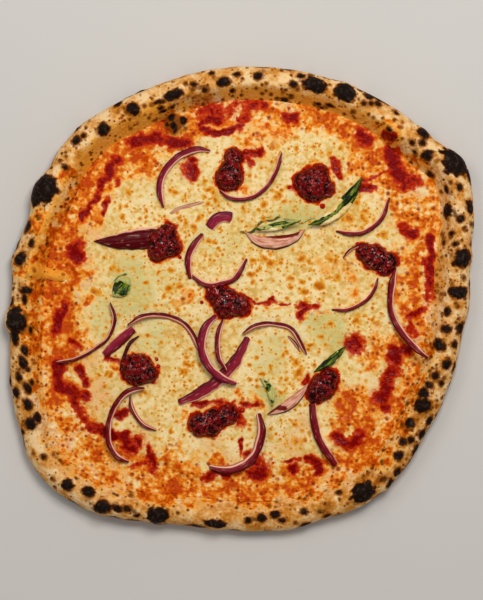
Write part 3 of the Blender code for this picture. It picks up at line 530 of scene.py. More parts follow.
class PizzaColours(bpy.types.PropertyGroup):
    """Colours of the food."""

    dough: colour("Dough", "Pale baked dough of the rim", 228, 172, 100)
    dough_tan: colour("Tan dough", "Dough where the oven coloured it", 204, 132, 46)
    dough_toast: colour("Toasted dough", "Dough that the oven browned", 142, 76, 10)
    # Partly the golden colour of oil-soaked dough and partly painted light that brightens slopes and
    # bubbles facing away from the key light.
    dough_golden: colour("Golden dough", "Dough shiny with oil", 238, 158, 50)
    flour: colour("Flour", "Dry floury patches", 240, 204, 148)
    speck: colour("Speck", "Small brown specks", 74, 26, 2)
    char_edge: colour("Char edge", "Brown ring round a charred spot", 66, 26, 2)
    char: colour("Char", "Charred spots", 24, 12, 6)
    # Painted highlight: grey patches on the black char that stand in for its glossy glints.
    ash: colour("Ash", "Greyish bloom on charred spots", 66, 54, 44)
    cheese: colour("Cheese", "Melted cheese", 232, 200, 122)
    cheese_light: colour("Light cheese", "Thick milky patches", 244, 223, 166)
    cheese_deep: colour("Deep cheese", "Hollows of the cheese", 216, 172, 88)
    cheese_thin: colour("Thin cheese", "Cheese tinted by sauce beneath", 230, 160, 100)
    cheese_green: colour("Green tint", "Cheese with basil beneath", 182, 184, 104)
    gold: colour("Gold", "Golden ring of a browned spot", 230, 154, 20)
    brown: colour("Brown", "Middle of a browned spot", 182, 84, 2)
    oil_light: colour("Light oil", "Thin orange oil", 250, 212, 158)
    oil: colour("Oil", "Orange oil", 244, 188, 92)
    oil_deep: colour("Deep oil", "Orange-brown oil", 232, 130, 20)
    oil_dark: colour("Dark oil", "Oil browned by the oven", 190, 66, 3)
    sauce_light: colour("Light sauce", "Sauce mixed with cheese", 206, 84, 14)
    sauce: colour("Sauce", "Tomato sauce", 186, 40, 2)
    sauce_deep: colour("Deep sauce", "Thick dark sauce", 124, 2, 1)
    nduja: colour("Nduja", "Soft sausage", 118, 6, 6)
    # Painted shade: near black where the hollows between the sausage's grains lie.
    nduja_dark: colour("Dark nduja", "Hollows of the sausage", 18, 0, 0)
    # Partly the sausage's fat and partly painted highlight: pale pink streaks that stand in for wet glints.
    nduja_light: colour("Light nduja", "Fatty streaks of the sausage", 222, 124, 112)
    nduja_edge: colour("Nduja edge", "Thin red edge of a dollop", 176, 20, 3)
    skin: colour("Onion skin", "Dark outer side of the onion", 66, 0, 3)
    purple: colour("Onion purple", "Purple of the onion", 106, 3, 12)
    magenta: colour("Onion magenta", "Bright purple of the onion", 126, 16, 50)
    rosy: colour("Rosy onion", "Brighter red towards the onion's inner side", 158, 36, 46)
    flesh: colour("Onion flesh", "Pale inner side of the onion", 238, 180, 152)
    film: colour("Onion film", "Cooked inner film of the onion", 176, 92, 56)
    maroon: colour("Onion maroon", "Cooked dark red of the onion", 110, 22, 12)
    leaf: colour("Leaf", "Basil leaf", 24, 40, 2)
    leaf_light: colour("Light leaf", "Basil veins and edges", 120, 140, 30)
    leaf_black: colour("Black leaf", "Basil that the oven darkened", 6, 12, 4)


class PizzaSizes(bpy.types.PropertyGroup):
    """Sizes that set how rough each piece looks."""

    crags: length("Crags", "Height of the rim's crags", 0.9)
    dough_grain: length("Dough grain", "Height of the rim's fine bumps", 0.32)
    cheese_spacing: length("Cheese mesh", "Distance between the cheese's points", 0.85)
    cheese_bumps: length("Cheese bumps", "Height of the cheese's bumps", 0.45)
    sauce_spacing: length("Sauce mesh", "Distance between the sauce's points", 1.25)
    sauce_bumps: length("Sauce bumps", "Height of the sauce's bumps", 0.35)
    nduja_grain: length("Nduja grain", "Height of the sausage's grains", 0.9)


class PizzaStage(bpy.types.PropertyGroup):
    """The floor, the light and the camera."""

    floor: colour("Floor", "Plain pale floor", 205, 200, 193)
    key_power: FloatProperty(
        name="Key light", description="Power of the soft light beyond the pizza", default=11.8, unit="POWER"
    )
    fill_power: FloatProperty(
        name="Fill light", description="Power of the soft light from the left", default=2.7, unit="POWER"
    )
    sky: FloatProperty(name="Sky", description="Strength of the even light", default=0.34, min=0)
    distance: FloatProperty(
        name="Distance", description="Camera above the floor", default=2.297, unit="LENGTH"
    )
    lens: FloatProperty(name="Lens", description="Focal length", default=200, unit="CAMERA")


# ------------------------------------------------------------------- shaping


def between(a, b, c, d, share):
    """What lies this share of the way from b to c, on a smooth curve from a to d."""
    bend = share * (2 * a - 5 * b + 4 * c - d + share * (3 * (b - c) + d - a))
    return b + 0.5 * share * (c - a + bend)


def around(values, degrees):
    """Smooth values at these angles, from a list spaced evenly round the circle."""
    place = np.mod(degrees, 360) / 360 * len(values)
    first = np.floor(place).astype(int)
    return between(*(np.take(values, first + k, mode="wrap") for k in (-1, 0, 1, 2)), place - first)


def read_off(wanted, known, rows):
    """Rows of numbers read off in straight steps, wherever they are wanted."""
    return np.stack([np.interp(wanted, known, column) for column in rows.T], axis=1)


def bell(distance):
    """1 at no distance, falling smoothly to 0 at a distance of 1."""
    return (1 - np.minimum(np.abs(distance), 1) ** 2) ** 2


def ease(value, low, high):
    """0 below the low value and 1 above the high one, with a smooth rise between."""
    share = np.clip((value - low) / (high - low), 0, 1)
    return share * share * (3 - 2 * share)


def rough(x, y, size, z=0.0, seed=0.0):
    """Smooth noise, about -1 to 1, with bumps of this size."""
    places = np.stack((x / size + seed, y / size - seed, z / size + 0 * x + seed), axis=1)
    return np.array([noise.noise(place) for place in places.tolist()])


def grains(x, y, size, z=0.0, seed=0.0):
    """Round grains of this size: 1 at the middle of a grain and 0 or less between grains."""
    places = np.stack((x / size + seed, y / size - seed, z / size + 0 * x), axis=1)
    return np.array([1 - 1.6 * noise.voronoi(place)[0][0] for place in places.tolist()])


def warped(x, y, amount, size, seed=0.0):
    """The places moved about a little, so that what is painted there gets an uneven edge."""
    return x + amount * rough(x, y, size, seed=seed + 3.7), y + amount * rough(x, y, size, seed=seed + 9.1)


def line_distance(x, y, points):
    """Distance from every place to a line through these points."""
    nearest = np.full(len(x), np.inf)
    ends = points if len(points) > 1 else points * 2
    for (ax, ay), (bx, by) in zip(ends, ends[1:]):
        run_x, run_y = bx - ax, by - ay
        span = max(run_x**2 + run_y**2, 1e-9)
        share = np.clip(((x - ax) * run_x + (y - ay) * run_y) / span, 0, 1)
        nearest = np.minimum(nearest, np.hypot(x - ax - share * run_x, y - ay - share * run_y))
    return nearest


def painted(x, y, strokes, fade):
    """The strongest stroke at every place, fading across this share of its half width."""
    field = np.zeros(len(x))
    for strength, half_width, points in strokes:
        away = line_distance(x, y, points) / half_width
        field = np.maximum(field, strength * (1 - ease(away, 1 - fade, 1 + fade)))
    return field


def stain_places(x, y):
    """The places moved about finely and then broadly, the same for all that is painted there."""
    return warped(*warped(x, y, 2.4, 6), 1.1, 2.4, 5), warped(x, y, 6, 12)


def stains(x, y):
    """How much oil and sauce every place shows, the same on dough, sauce and cheese."""
    near, far = stain_places(x, y)
    degrees = np.degrees(np.arctan2(y, x))
    sauce = painted(*near, SAUCE_SHOWS, 1.0)
    oil = painted(*far, OILY, 0.7)
    beside = nduja_distance(*warped(x, y, 1.6, 4, 2)) + 1.6 * rough(x, y, 10, seed=5)
    oil = np.maximum(oil, 0.8 * (1 - ease(beside, 0, 3.4)))
    sauce = np.maximum(sauce, 0.8 * (1 - ease(beside, -0.8, 1.6)))
    radius = np.hypot(*far)
    past_cheese = radius - cheese_edge(degrees)
    soak = around(OIL_REACH, degrees) - radius
    ring = around(OIL_STRENGTH, degrees) * ease(past_cheese, -12, 4) * ease(soak, -5, 7)
    return np.maximum(oil, ring), sauce


def rim_foot(degrees):
    return around(RIM_RADII, degrees) - around(RIM_WIDTHS, degrees)


def sauce_edge(degrees):
    edge = rim_foot(degrees) - 1.5
    for middle, depth, spread in DRAWN_BACK:
        away = np.mod(degrees - middle + 180, 360) - 180
        edge = edge - depth * np.exp(-((away / spread) ** 2))
    return edge


def cheese_edge(degrees):
    turn = np.radians(degrees)
    bays = sum(depth * np.sin(number * turn + start) for depth, number, start in CHEESE_BAYS)
    return np.minimum(around(CHEESE_RADII, degrees) + bays, sauce_edge(degrees) - 4)


def inner_slope(share, height):
    rise = np.sin(np.pi / 2 * np.clip(share, 0, 1)) ** INNER_SLOPE_POWER
    return BASE_THICKNESS + (height - BASE_THICKNESS) * rise


def sauce_top():
    return BASE_THICKNESS + GAP + SAUCE_THICKNESS


def cheese_top(x, y):
    return sauce_top() + GAP + CHEESE_THICKNESS + CHEESE_WAVE * rough(x, y, CHEESE_WAVE_LENGTH)


# ----------------------------------------------------------- meshes and pieces


def turned(profile, steps):
    """A closed body of revolution. The profile starts and ends on the axis."""
    bm = bmesh.new()
    verts = [bm.verts.new((radius, 0, z)) for radius, z in profile]
    edges = [bm.edges.new(pair) for pair in zip(verts, verts[1:])]
    bmesh.ops.spin(
        bm, geom=verts + edges, axis=(0, 0, 1), angle=2 * math.pi, steps=steps, use_merge=True
    )
    bmesh.ops.remove_doubles(bm, verts=bm.verts, dist=0.001)
    return bm


def mesh_of(bm, name):
    """The bmesh as a mesh, with its faces out."""
    bmesh.ops.recalc_face_normals(bm, faces=bm.faces)
    mesh = bpy.data.meshes.new(name)
    bm.to_mesh(mesh)
    bm.free()
    return mesh


def places_of(mesh):
    places = np.empty(len(mesh.vertices) * 3, np.float32)
    mesh.vertices.foreach_get("co", places)
    return places.reshape(-1, 3).astype(float)


def keep(mesh, **fields):
    """Keeps values at every vertex, for the material to read."""
    for name, values in fields.items():
        attribute = mesh.attributes.new(name, "FLOAT", "POINT")
        attribute.data.foreach_set("value", np.full(len(mesh.vertices), values, np.float32))


def finish_piece(mesh, places, material, node):
    """Puts the points in place in metres and makes the mesh a piece that stands for its node."""
    mesh.vertices.foreach_set("co", (places * MM).astype(np.float32).ravel())
    mesh.update()
    mesh.shade_smooth()
    mesh.materials.append(material)
    piece = bpy.data.objects.new(mesh.name, mesh)
    bpy.context.scene.collection.objects.link(piece)
    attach(piece, "root")
    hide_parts(node)
    return piece


def height_reader(node):
    """A function that gives the underside of a CAD node at a place, or None beside it."""
    tree = BVHTree.FromObject(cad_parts[node], bpy.context.evaluated_depsgraph_get())

    def under(x, y):
        hit = tree.ray_cast(Vector((x * MM, y * MM, -1)), Vector((0, 0, 1)))[0]
        return None if hit is None else hit.z / MM

    return under


# --------------------------------------------------------------------- crust


def crust_profile():
    """Half section of the even ring, from under the middle, over the rim, to the middle."""
    reach = CREST_IN * ROUND_WIDTH
    waist = WAIST_UP * ROUND_HEIGHT
    undercut = ROUND_CREST + reach * math.cos(math.radians(UNDERCUT_ANGLE))
    points = [(undercut * step / UNDER_RINGS, 0) for step in range(UNDER_RINGS)]
    for step in range(OUTER_STEPS + 1):
        turn = -UNDERCUT_ANGLE + (90 + UNDERCUT_ANGLE) * step / OUTER_STEPS
        lift = math.sin(math.radians(turn))
        if turn < 0:
            z = waist * (1 + lift / math.sin(math.radians(UNDERCUT_ANGLE)))
        else:
            z = waist + (ROUND_HEIGHT - waist) * lift
        points.append((ROUND_CREST + reach * math.cos(math.radians(turn)), z))
    for step in range(INNER_STEPS - 1, -1, -1):
        share = step / INNER_STEPS
        radius = ROUND_FOOT + share * (ROUND_CREST - ROUND_FOOT)
        points.append((radius, float(inner_slope(share, ROUND_HEIGHT))))
    points += [(ROUND_FOOT - inside, BASE_THICKNESS) for inside in FLOOR_RINGS]
    return [*points, (0, BASE_THICKNESS)]


def off_spot(x, y, spot_x, spot_y, turn):
    """How far along the rim and how far out from a spot every place is, the rim lying at this angle."""
    x, y = x - spot_x, y - spot_y
    return y * np.cos(turn) - x * np.sin(turn), x * np.cos(turn) + y * np.sin(turn)


def spot_distance(places, upper, spot_x, spot_y, along, across):
    """Distance from a spot on the rim, 1 at its edge, measured over the surface's height too."""
    x, y, z = places.T
    side, out = off_spot(x, y, spot_x, spot_y, math.atan2(spot_y, spot_x))
    nearest = np.argmin(np.where(upper, np.hypot(side, out), np.inf))
    return np.sqrt((side / along) ** 2 + (out / across) ** 2 + ((z - z[nearest]) / across) ** 2) * 2


def side_spots():
    """Spots on the rim's outer side, which the oven browned as it did the top."""
    draw = random.Random(11)
    spots = []
    for step in range(SIDE_SPOTS):
        angle = 360 * (step + draw.random()) / SIDE_SPOTS
        size = 2.5 + 6 * draw.random() ** 2
        spots.append((angle, 0.1 + 0.45 * draw.random(), size * (1 + draw.random()), size))
    return spots


def rim_relief(x, y, angle, crags):
    """How far crags and blisters push the rim's surface out."""
    relief = crags * rough(x, y, CRAG_LENGTH)
    for blister_x, blister_y, along, across, rise in BLISTERS:
        side, out = off_spot(x, y, blister_x, blister_y, angle)
        relief += rise * bell(np.hypot(side / along, out / across) / BLISTER_SPREAD)
    return relief


def dough_lift(x, y):
    """How high the bubbles and the fold of dough stand."""
    outer_end, inner_end, half_width, rise = FOLD
    lift = rise * bell(line_distance(x, y, (outer_end, inner_end)) / half_width)
    for bubble_x, bubble_y, bubble_radius, rise in BUBBLES:
        lift += rise * bell(np.hypot(x - bubble_x, y - bubble_y) / bubble_radius)
    return lift


def burnt(places, upper, inner):
    """How charred and how brown every place is, and how far the charred spots swell."""
    x, y, z = places.T
    char, dome, brown = np.zeros((3, len(x)))
    uneven = 0.38 * rough(x, y, 2.6, z) + 0.3 * rough(x, y, 6, z, 4)
    for spot_x, spot_y, along, across in CHAR_SPOTS:
        away = spot_distance(places, upper, spot_x, spot_y, along, across)
        size = math.sqrt(along * across)
        char = np.maximum(char, np.clip(0.5 + (1 - away - uneven) * size / 2 / CHAR_FADE, 0, 1))
        dome = np.maximum(dome, (0.11 * size if size < 12 else 0.05 * size) * bell(away / 1.25))
    for turn, up, along, across in side_spots():
        reach = float(around(RIM_RADII, turn))
        spot = (reach * math.cos(math.radians(turn)), reach * math.sin(math.radians(turn)))
        drop = (z - up * ROUND_HEIGHT) / (across / 2)
        away = np.hypot(line_distance(x, y, (spot,)) / (along / 2), drop)
        mark = np.clip(0.5 + (1 - away - uneven) * across / 2 / CHAR_FADE, 0, 1)
        char = np.maximum(char, mark * ~inner)
    for spot_x, spot_y, along, across in SOFT_BROWN_SPOTS:
        away = spot_distance(places, upper, spot_x, spot_y, along, across)
        brown = np.maximum(brown, np.clip(1.3 - away - uneven, 0, 1))
    return char, dome, brown


def make_crust(sizes, material):
    """The base and its puffed rim, with blisters, crags and grain as relief."""
    mesh = mesh_of(turned(crust_profile(), CRUST_STEPS), "crust_dough")
    even = places_of(mesh)
    even_radius = np.hypot(even[:, 0], even[:, 1])
    angle = np.arctan2(even[:, 1], even[:, 0])
    degrees = np.degrees(angle)
    width, height, foot = around(RIM_WIDTHS, degrees), around(RIM_HEIGHTS, degrees), rim_foot(degrees)
    on_ring = even_radius > ROUND_FOOT
    radius = np.where(
        on_ring, foot + (even_radius - ROUND_FOOT) / ROUND_WIDTH * width, even_radius * foot / ROUND_FOOT
    )
    x, y, z = radius * np.cos(angle), radius * np.sin(angle), even[:, 2]
    inner = (z > BASE_THICKNESS - 0.01) & (even_radius < ROUND_CREST + 0.01)
    share = (height - BASE_THICKNESS) / (ROUND_HEIGHT - BASE_THICKNESS)
    z = np.where(inner & on_ring, BASE_THICKNESS + (z - BASE_THICKNESS) * share, z)
    z = np.where(inner, z, z * height / ROUND_HEIGHT)
    places = np.stack((x, y, z), axis=1)
    above = z > 0.01
    core = foot + (1 - CREST_IN) * width
    middle = np.stack((core * np.cos(angle), core * np.sin(angle), WAIST_UP * height), axis=1)
    outward = places - middle
    outward /= np.maximum(np.linalg.norm(outward, axis=1, keepdims=True), 1e-6)
    on_rim = np.where(inner, ease(radius - foot, 1, 6), ease(z, 0.5, 5)) * above
    places += outward * (rim_relief(x, y, angle, sizes.crags / MM) * on_rim)[:, None]
    places[:, 2] += dough_lift(x, y) * inner

    x, y, z = places.T
    char, dome, brown = burnt(places, (z > 0.35 * height) & on_ring, inner)
    oil, sauce = stains(x, y)
    oil = np.maximum(oil, painted(x, y, OILY_DOUGH, 0.5)) * above
    smeared = warped(x, y, 1.2, 3)
    sauce = np.maximum(sauce, painted(*smeared, SAUCE_ON_DOUGH, 0.5)) * inner
    toast = painted(*warped(x, y, 5, 11), TOASTED, 0.6) * above
    toast = np.maximum(toast, 0.6 * ease(6 - z, 0, 5) * ~inner)

    grain = sizes.dough_grain / MM
    fine = grain * (rough(x, y, 4.5, z, 2) + 0.55 * rough(x, y, 2.1, z, 6)) + dome
    fine += 0.9 * grain * ease(oil, 0.2, 0.6) * grains(x, y, 4.2, z, 5)
    places += outward * (fine * on_rim)[:, None]
    under = even[:, 2] < 0.01
    hollow_under = under & (even_radius < ROUND_CREST - 4)
    places[:, 2] = np.where(hollow_under, np.abs(0.5 * rough(x, y, 19)), places[:, 2])
    # golden carries oil's golden colour and also painted light on shaded slopes and bubbles.
    keep(
        mesh, char=char, brown=brown, oil=oil, sauce=sauce, toast=toast, under=under,
        golden=painted(*smeared, GOLDEN_LIT_DOUGH, 0.6) * inner, freckles=around(FRECKLES, degrees),
    )
    return finish_piece(mesh, places, material, "crust")


# ------------------------------------------------------------ sauce and cheese


def layer(name, reach, spacing):
    """A flat disc of small squares, closed 1 mm below, for a layer of this reach at every angle."""
    steps = math.ceil(2 * LAYER_SQUARE / spacing)
    bm = bmesh.new()
    bmesh.ops.create_grid(bm, x_segments=steps, y_segments=steps, size=LAYER_SQUARE)
    far = [vert for vert in bm.verts if vert.co.length > LAYER_SURE]
    outside = [v for v in far if v.co.length > reach(math.degrees(math.atan2(v.co.y, v.co.x)))]
    bmesh.ops.delete(bm, geom=outside, context="VERTS")
    loose = [vert for vert in bm.verts if not vert.link_faces]
    bmesh.ops.delete(bm, geom=loose, context="VERTS")
    border = [edge for edge in bm.edges if edge.is_boundary]
    made = bmesh.ops.extrude_edge_only(bm, edges=border)["geom"]
    skirt = [part for part in made if isinstance(part, bmesh.types.BMVert)]
    bmesh.ops.translate(bm, vec=(0, 0, -1), verts=skirt)
    bottom = [part for part in made if isinstance(part, bmesh.types.BMEdge)]
    bmesh.ops.triangle_fill(bm, edges=bottom, use_beauty=True)
    return mesh_of(bm, name)


def nduja_distance(x, y):
    """Distance outside the nearest dollop."""
    lumps = [lump for dollop in DOLLOPS for lump in dollop]
    return np.min([np.hypot(x - lx, y - ly) - radius for lx, ly, radius, _ in lumps], axis=0)


def sauce_height(x, y, bumps):
    return sauce_top() + bumps * (rough(x, y, 7, seed=1) + 0.6 * rough(x, y, 2.8, seed=8))


def make_sauce(sizes, material):
    """The sauce, which shows outside the cheese with oil and curds of cheese on it."""
    mesh = layer("sauce_layer", lambda degrees: float(rim_foot(degrees)) + 2.2, sizes.sauce_spacing / MM)
    places = places_of(mesh)
    x, y, z = places.T
    top = z > -0.5
    radius = np.hypot(x, y)
    foot = rim_foot(np.degrees(np.arctan2(y, x)))
    oil, sauce = stains(x, y)
    bumps = sizes.sauce_bumps / MM
    height = sauce_height(x, y, bumps)
    height += 0.5 * bumps * grains(x, y, 4.2, seed=5) * (1 - ease(sauce, 0.2, 0.8))
    places[:, 2] = np.where(top, height - 0.8 * ease(radius - foot, 0.6, 2.2), BASE_THICKNESS - 0.4)
    keep(mesh, oil=oil, sauce=sauce)
    return finish_piece(mesh, places, material, "tomato_sauce")


def make_cheese(sizes, material):
    """The melted cheese: thick and milky in places, thin and oily in others, sunk over sauce."""
    mesh = layer("cheese_layer", lambda degrees: float(cheese_edge(degrees)) + 5, sizes.cheese_spacing / MM)
    places = places_of(mesh)
    x, y, z = places.T
    top = z > -0.5
    degrees = np.degrees(np.arctan2(y, x))
    edge = cheese_edge(degrees) + 3 * rough(x, y, 9, seed=2) + 1.5 * rough(x, y, 3.5, seed=7)
    (near_x, near_y), far = stain_places(x, y)
    oil, sauce = stains(x, y)
    thin = painted(*far, THIN_CHEESE, 0.6)
    cover = ease(edge - np.hypot(x, y), -2, 7)
    bumps = sizes.cheese_bumps / MM
    relief = bumps * (rough(x, y, 12, seed=3) + 0.5 * rough(x, y, 4.2, seed=6))
    relief += bumps * ease(oil, 0.2, 0.6) * 0.8 * grains(x, y, 3.6, seed=1)
    relief -= bumps * (0.9 * thin + 1.6 * ease(sauce, 0.3, 0.9))
    floor = sauce_height(x, y, sizes.sauce_bumps / MM)
    full = cheese_top(x, y) + relief
    places[:, 2] = np.where(top, floor - 0.4 + (full - floor + 0.4) * cover, sauce_top() - 0.9)
    gold = np.zeros(len(x))
    for spot_x, spot_y, size in GOLD_SPOTS:
        away = np.hypot(near_x - spot_x, near_y - spot_y) / size
        gold = np.maximum(gold, np.clip(1.4 - away, 0, 1))
    keep(
        mesh, oil=oil, sauce=sauce, thin=thin, gold=gold, green=painted(*far, GREEN_TINT, 0.7),
        spotted=painted(*far, SPOTTED, 0.6),
    )
    return finish_piece(mesh, places, material, "cheese")


# ------------------------------------------------------------------ toppings


def dollop_reach(lumps, angle):
    """How far a dollop reaches from its first lump's middle, at these angles."""
    x, y = lumps[0][:2]
    reach = np.zeros(len(angle))
    for lump_x, lump_y, radius, _ in lumps:
        along = (lump_x - x) * np.cos(angle) + (lump_y - y) * np.sin(angle)
        inside = radius**2 - ((lump_x - x) ** 2 + (lump_y - y) ** 2 - along**2)
        reach = np.maximum(reach, np.where(inside > 0, along + np.sqrt(np.maximum(inside, 0)), 0))
    return reach


def make_dollop(name, lumps, crumbs, sizes, material):
    """A soft lumpy dollop of sausage with wet grains, and the crumbs beside it."""
    bm = bmesh.new()
    bmesh.ops.create_uvsphere(bm, u_segments=DOLLOP_SIDES, v_segments=DOLLOP_ROWS, radius=1)
    for crumb_x, crumb_y, radius in crumbs:
        ball = bmesh.ops.create_icosphere(bm, subdivisions=4, radius=radius)["verts"]
        bmesh.ops.translate(bm, vec=(crumb_x, crumb_y, CRUMB_LIFT), verts=ball)
    mesh = mesh_of(bm, name.replace("nduja", "nduja_dollop"))
    places = places_of(mesh)
    crumb = places[:, 2] > CRUMB_LIFT / 2
    ball = np.where(crumb[:, None], 0, places)
    first_x, first_y = lumps[0][:2]
    angle = np.arctan2(ball[:, 1], ball[:, 0])
    ahead, aside = np.cos(angle), np.sin(angle)
    spread = np.hypot(ball[:, 0], ball[:, 1])
    wobble = DOLLOP_UNEVEN * rough(ahead * 2 + first_x / 10, aside * 2 + first_y / 10, 1)
    ragged = DOLLOP_RAGGED * rough(ahead * 6 + first_x, aside * 6 + first_y, 1)
    reach = dollop_reach(lumps, angle) * (1 + wobble + ragged)
    x = first_x + spread * reach * ahead
    y = first_y + spread * reach * aside
    powers = sum(
        (rise * np.sqrt(np.maximum(0, 1 - ((x - lx) ** 2 + (y - ly) ** 2) / radius**2))) ** LUMP_POWER
        for lx, ly, radius, rise in lumps
    )
    ground = cheese_top(x, y)
    swell = DOLLOP_EDGE * np.sqrt(np.maximum(0, 1 - spread**10)) + powers ** (1 / LUMP_POWER)
    sunk = DOLLOP_SUNK * np.sqrt(np.maximum(0, 1 - spread**4))
    body = np.stack((x, y, ground + np.where(ball[:, 2] > -0.01, swell, -sunk)), axis=1)
    stones = places - (0, 0, CRUMB_LIFT)
    stones[:, 2] = CRUMB_HEIGHT * stones[:, 2] + cheese_top(places[:, 0], places[:, 1])
    places = np.where(crumb[:, None], stones, body)
    x, y, z = places.T
    mesh.vertices.foreach_set("co", places.astype(np.float32).ravel())
    mesh.update()
    normals = np.empty(len(x) * 3, np.float32)
    mesh.vertex_normals.foreach_get("vector", normals)
    lumpy = grains(x, y, 4.2, z, 3) + 0.45 * grains(x, y, 2.4, z, 8) + 0.1 * rough(x, y, 1.3, z)
    depth = sizes.nduja_grain / MM * (lumpy - 0.45)
    raised = np.where(crumb, 0.4, ease(z - ground, 0.1, 1.6))
    # hollow marks the hollows between grains, where the material paints shade.
    keep(mesh, hollow=np.clip(0.5 - 0.5 * lumpy, 0, 1), edge=1 - ease(z - cheese_top(x, y), 0.4, 3.2))
    places = places + normals.reshape(-1, 3) * (depth * raised)[:, None]
    return finish_piece(mesh, places, material, name)


def smooth_path(points, spacing):
    """Points evenly spaced along a smooth curve through the given ones."""
    given = np.array(points, float)
    ends = np.vstack((2 * given[0] - given[1], given, 2 * given[-1] - given[-2]))
    shares = np.arange(CURVE_STEPS) / CURVE_STEPS
    curve = [between(*four, share) for four in zip(ends, ends[1:], ends[2:], ends[3:]) for share in shares]
    fine = np.array([*curve, given[-1]])
    run = np.concatenate(([0], np.cumsum(np.linalg.norm(np.diff(fine, axis=0), axis=1))))
    count = max(round(run[-1] / spacing), 8)
    want = np.linspace(0, run[-1], count + 1)
    return read_off(want, run, fine), want


def laid_path(node, points, spacing):
    """Places along a piece, the direction across it, its run, and the height it lies at."""
    path, run = smooth_path(points, spacing)
    way = np.gradient(path, axis=0)
    across = np.stack((-way[:, 1], way[:, 0]), axis=1)
    across /= np.linalg.norm(across, axis=1, keepdims=True)
    under = height_reader(node)
    found = [under(*place) for place in path]
    known = [k for k, z in enumerate(found) if z is not None]
    if not known:
        raise ValueError(f"{node} isn't where its path is")
    heights = np.interp(np.arange(len(found)), known, [found[k] for k in known])
    return path, across, run, heights


def tube(sections, stations):
    """A closed tube of this many sides along +Z, from 0 to 1, with a ring at every station."""
    bm = bmesh.new()
    bmesh.ops.create_cone(bm, cap_ends=True, segments=sections, radius1=1, radius2=1, depth=1)
    long_edges = [edge for edge in bm.edges if abs(edge.verts[0].co.z - edge.verts[1].co.z) > 0.5]
    bmesh.ops.subdivide_edges(bm, edges=long_edges, cuts=stations - 2, use_grid_fill=False)
    bmesh.ops.translate(bm, vec=(0, 0, 0.5), verts=bm.verts)
    return bm


def make_strip(name, width, height, skin_side, film, tone, end_width, points, material):
    """An onion strip on its cut edge: dark skin on its outer side, pale flesh and film inside."""
    path, across, run, heights = laid_path(name, points, STRIP_SPACING)
    stations = len(path)
    mesh = mesh_of(tube(STRIP_SECTION_POINTS, stations), name.replace("onion", "red_onion"))
    round_place = places_of(mesh)
    turn = np.arctan2(round_place[:, 1], round_place[:, 0])
    station = np.rint(round_place[:, 2] * (stations - 1)).astype(int)
    end = np.minimum(run[station], run[-1] - run[station])
    grown = ease(end, 0, STRIP_TAPER * width)
    tip = np.sqrt(np.clip(end / 0.8 + 0.12, 0, 1))
    seed = points[0][0] * 0.37 + points[0][1] * 0.11
    ripple = rough(run[station] + seed * 9, 0 * turn, 5, seed=seed)
    wide = width * (end_width + (1 - end_width) * grown) * (1 + 0.16 * ripple) * tip
    high = height * (STRIP_END_HEIGHT + (1 - STRIP_END_HEIGHT) * grown) * tip
    side = np.sign(np.cos(turn)) * np.abs(np.cos(turn)) ** SQUARENESS
    up = 0.5 + 0.5 * np.sign(np.sin(turn)) * np.abs(np.sin(turn)) ** SQUARENESS
    outer = side * skin_side
    slope = 1 - min(film, 0.8) * 0.75 * ease(-outer, -0.6, 0.35)
    ridge = 0.10 * np.sin(turn * 7 + ripple * 2) * (up > 0.4)
    rise = high * up * slope + ridge
    wander = 0.35 * rough(run[station] + seed * 5, 0 * turn, 9, seed=seed + 2)
    flat = path[station] + across[station] * (side * wide / 2 + wander)[:, None]
    z = heights[station] - GAP - SINK + rise + SINK * ease(up, 0.2, 0.8)
    keep(mesh, across=outer, along=run[station] * MM, film=film, tone=tone, pale=film > 1, maroon=0)
    return finish_piece(mesh, np.column_stack((flat, z)), material, name)


def width_share(outline, share):
    """How wide a flat piece is at this share of its length."""
    if outline == "petal":
        return np.sin(np.pi / 2 * np.minimum(share / 0.7, 1)) ** 0.8 * (1 - 0.3 * ease(share, 0.7, 1))
    if outline == "crescent":
        return np.sin(np.pi * np.clip(share, 0, 1)) ** 0.8
    return 0.6 + 0.4 * np.sin(np.pi * np.clip(share, 0, 1)) ** 0.5


def sheet_mesh(name):
    """A thin closed plate whose upper and lower skins are grids, 1 long and 1 wide."""
    bm = bmesh.new()
    bmesh.ops.create_grid(bm, x_segments=SHEET_STATIONS, y_segments=SHEET_COLUMNS, size=0.5)
    made = bmesh.ops.extrude_face_region(bm, geom=bm.faces[:])["geom"]
    upper = [part for part in made if isinstance(part, bmesh.types.BMVert)]
    bmesh.ops.translate(bm, vec=(0, 0, 1), verts=upper)
    return mesh_of(bm, name)


def bent_sheet(mesh, node, outline, width, thickness, arch, points, wave):
    """Places, run and side of a thin plate bent along a path, higher along its middle."""
    flat = places_of(mesh)
    path, across, run, heights = laid_path(node, points, STRIP_SPACING)
    share = flat[:, 0] + 0.5
    place = share * (len(path) - 1)
    steps = np.arange(len(path))
    side = 2 * flat[:, 1]
    middle, sideways = read_off(place, steps, path), read_off(place, steps, across)
    full_at = np.maximum(width * width_share(outline, np.linspace(0, 1, len(path))), SHEET_LEAST_WIDTH)
    floor = np.interp(place, steps, heights - arch * full_at / width)
    full = np.interp(place, steps, full_at)
    seed = points[0][0] * 0.31
    ragged = 1 + 0.10 * rough(share * 9 + seed, np.sign(side), 1)
    spot = middle + sideways * (side / 2 * full * ragged)[:, None]
    rise = arch * full / width * (1 - side**2) + wave * (1 + np.sin(9 * share + 2.5 * side))
    rise += (0.3 + wave) * 0.5 * rough(spot[:, 0], spot[:, 1], 3.5, seed=seed)
    sides = np.sqrt(np.clip(1 - np.abs(side) ** 6, 0, 1))
    ends = np.sqrt(np.clip(np.minimum(share, 1 - share) * 14, 0, 1))
    thick = thickness * (0.35 + 0.65 * sides * ends)
    z = floor - GAP + rise + np.where(flat[:, 2] > 0.5, thick, 0)
    return np.column_stack((spot, z)), share * run[-1], side


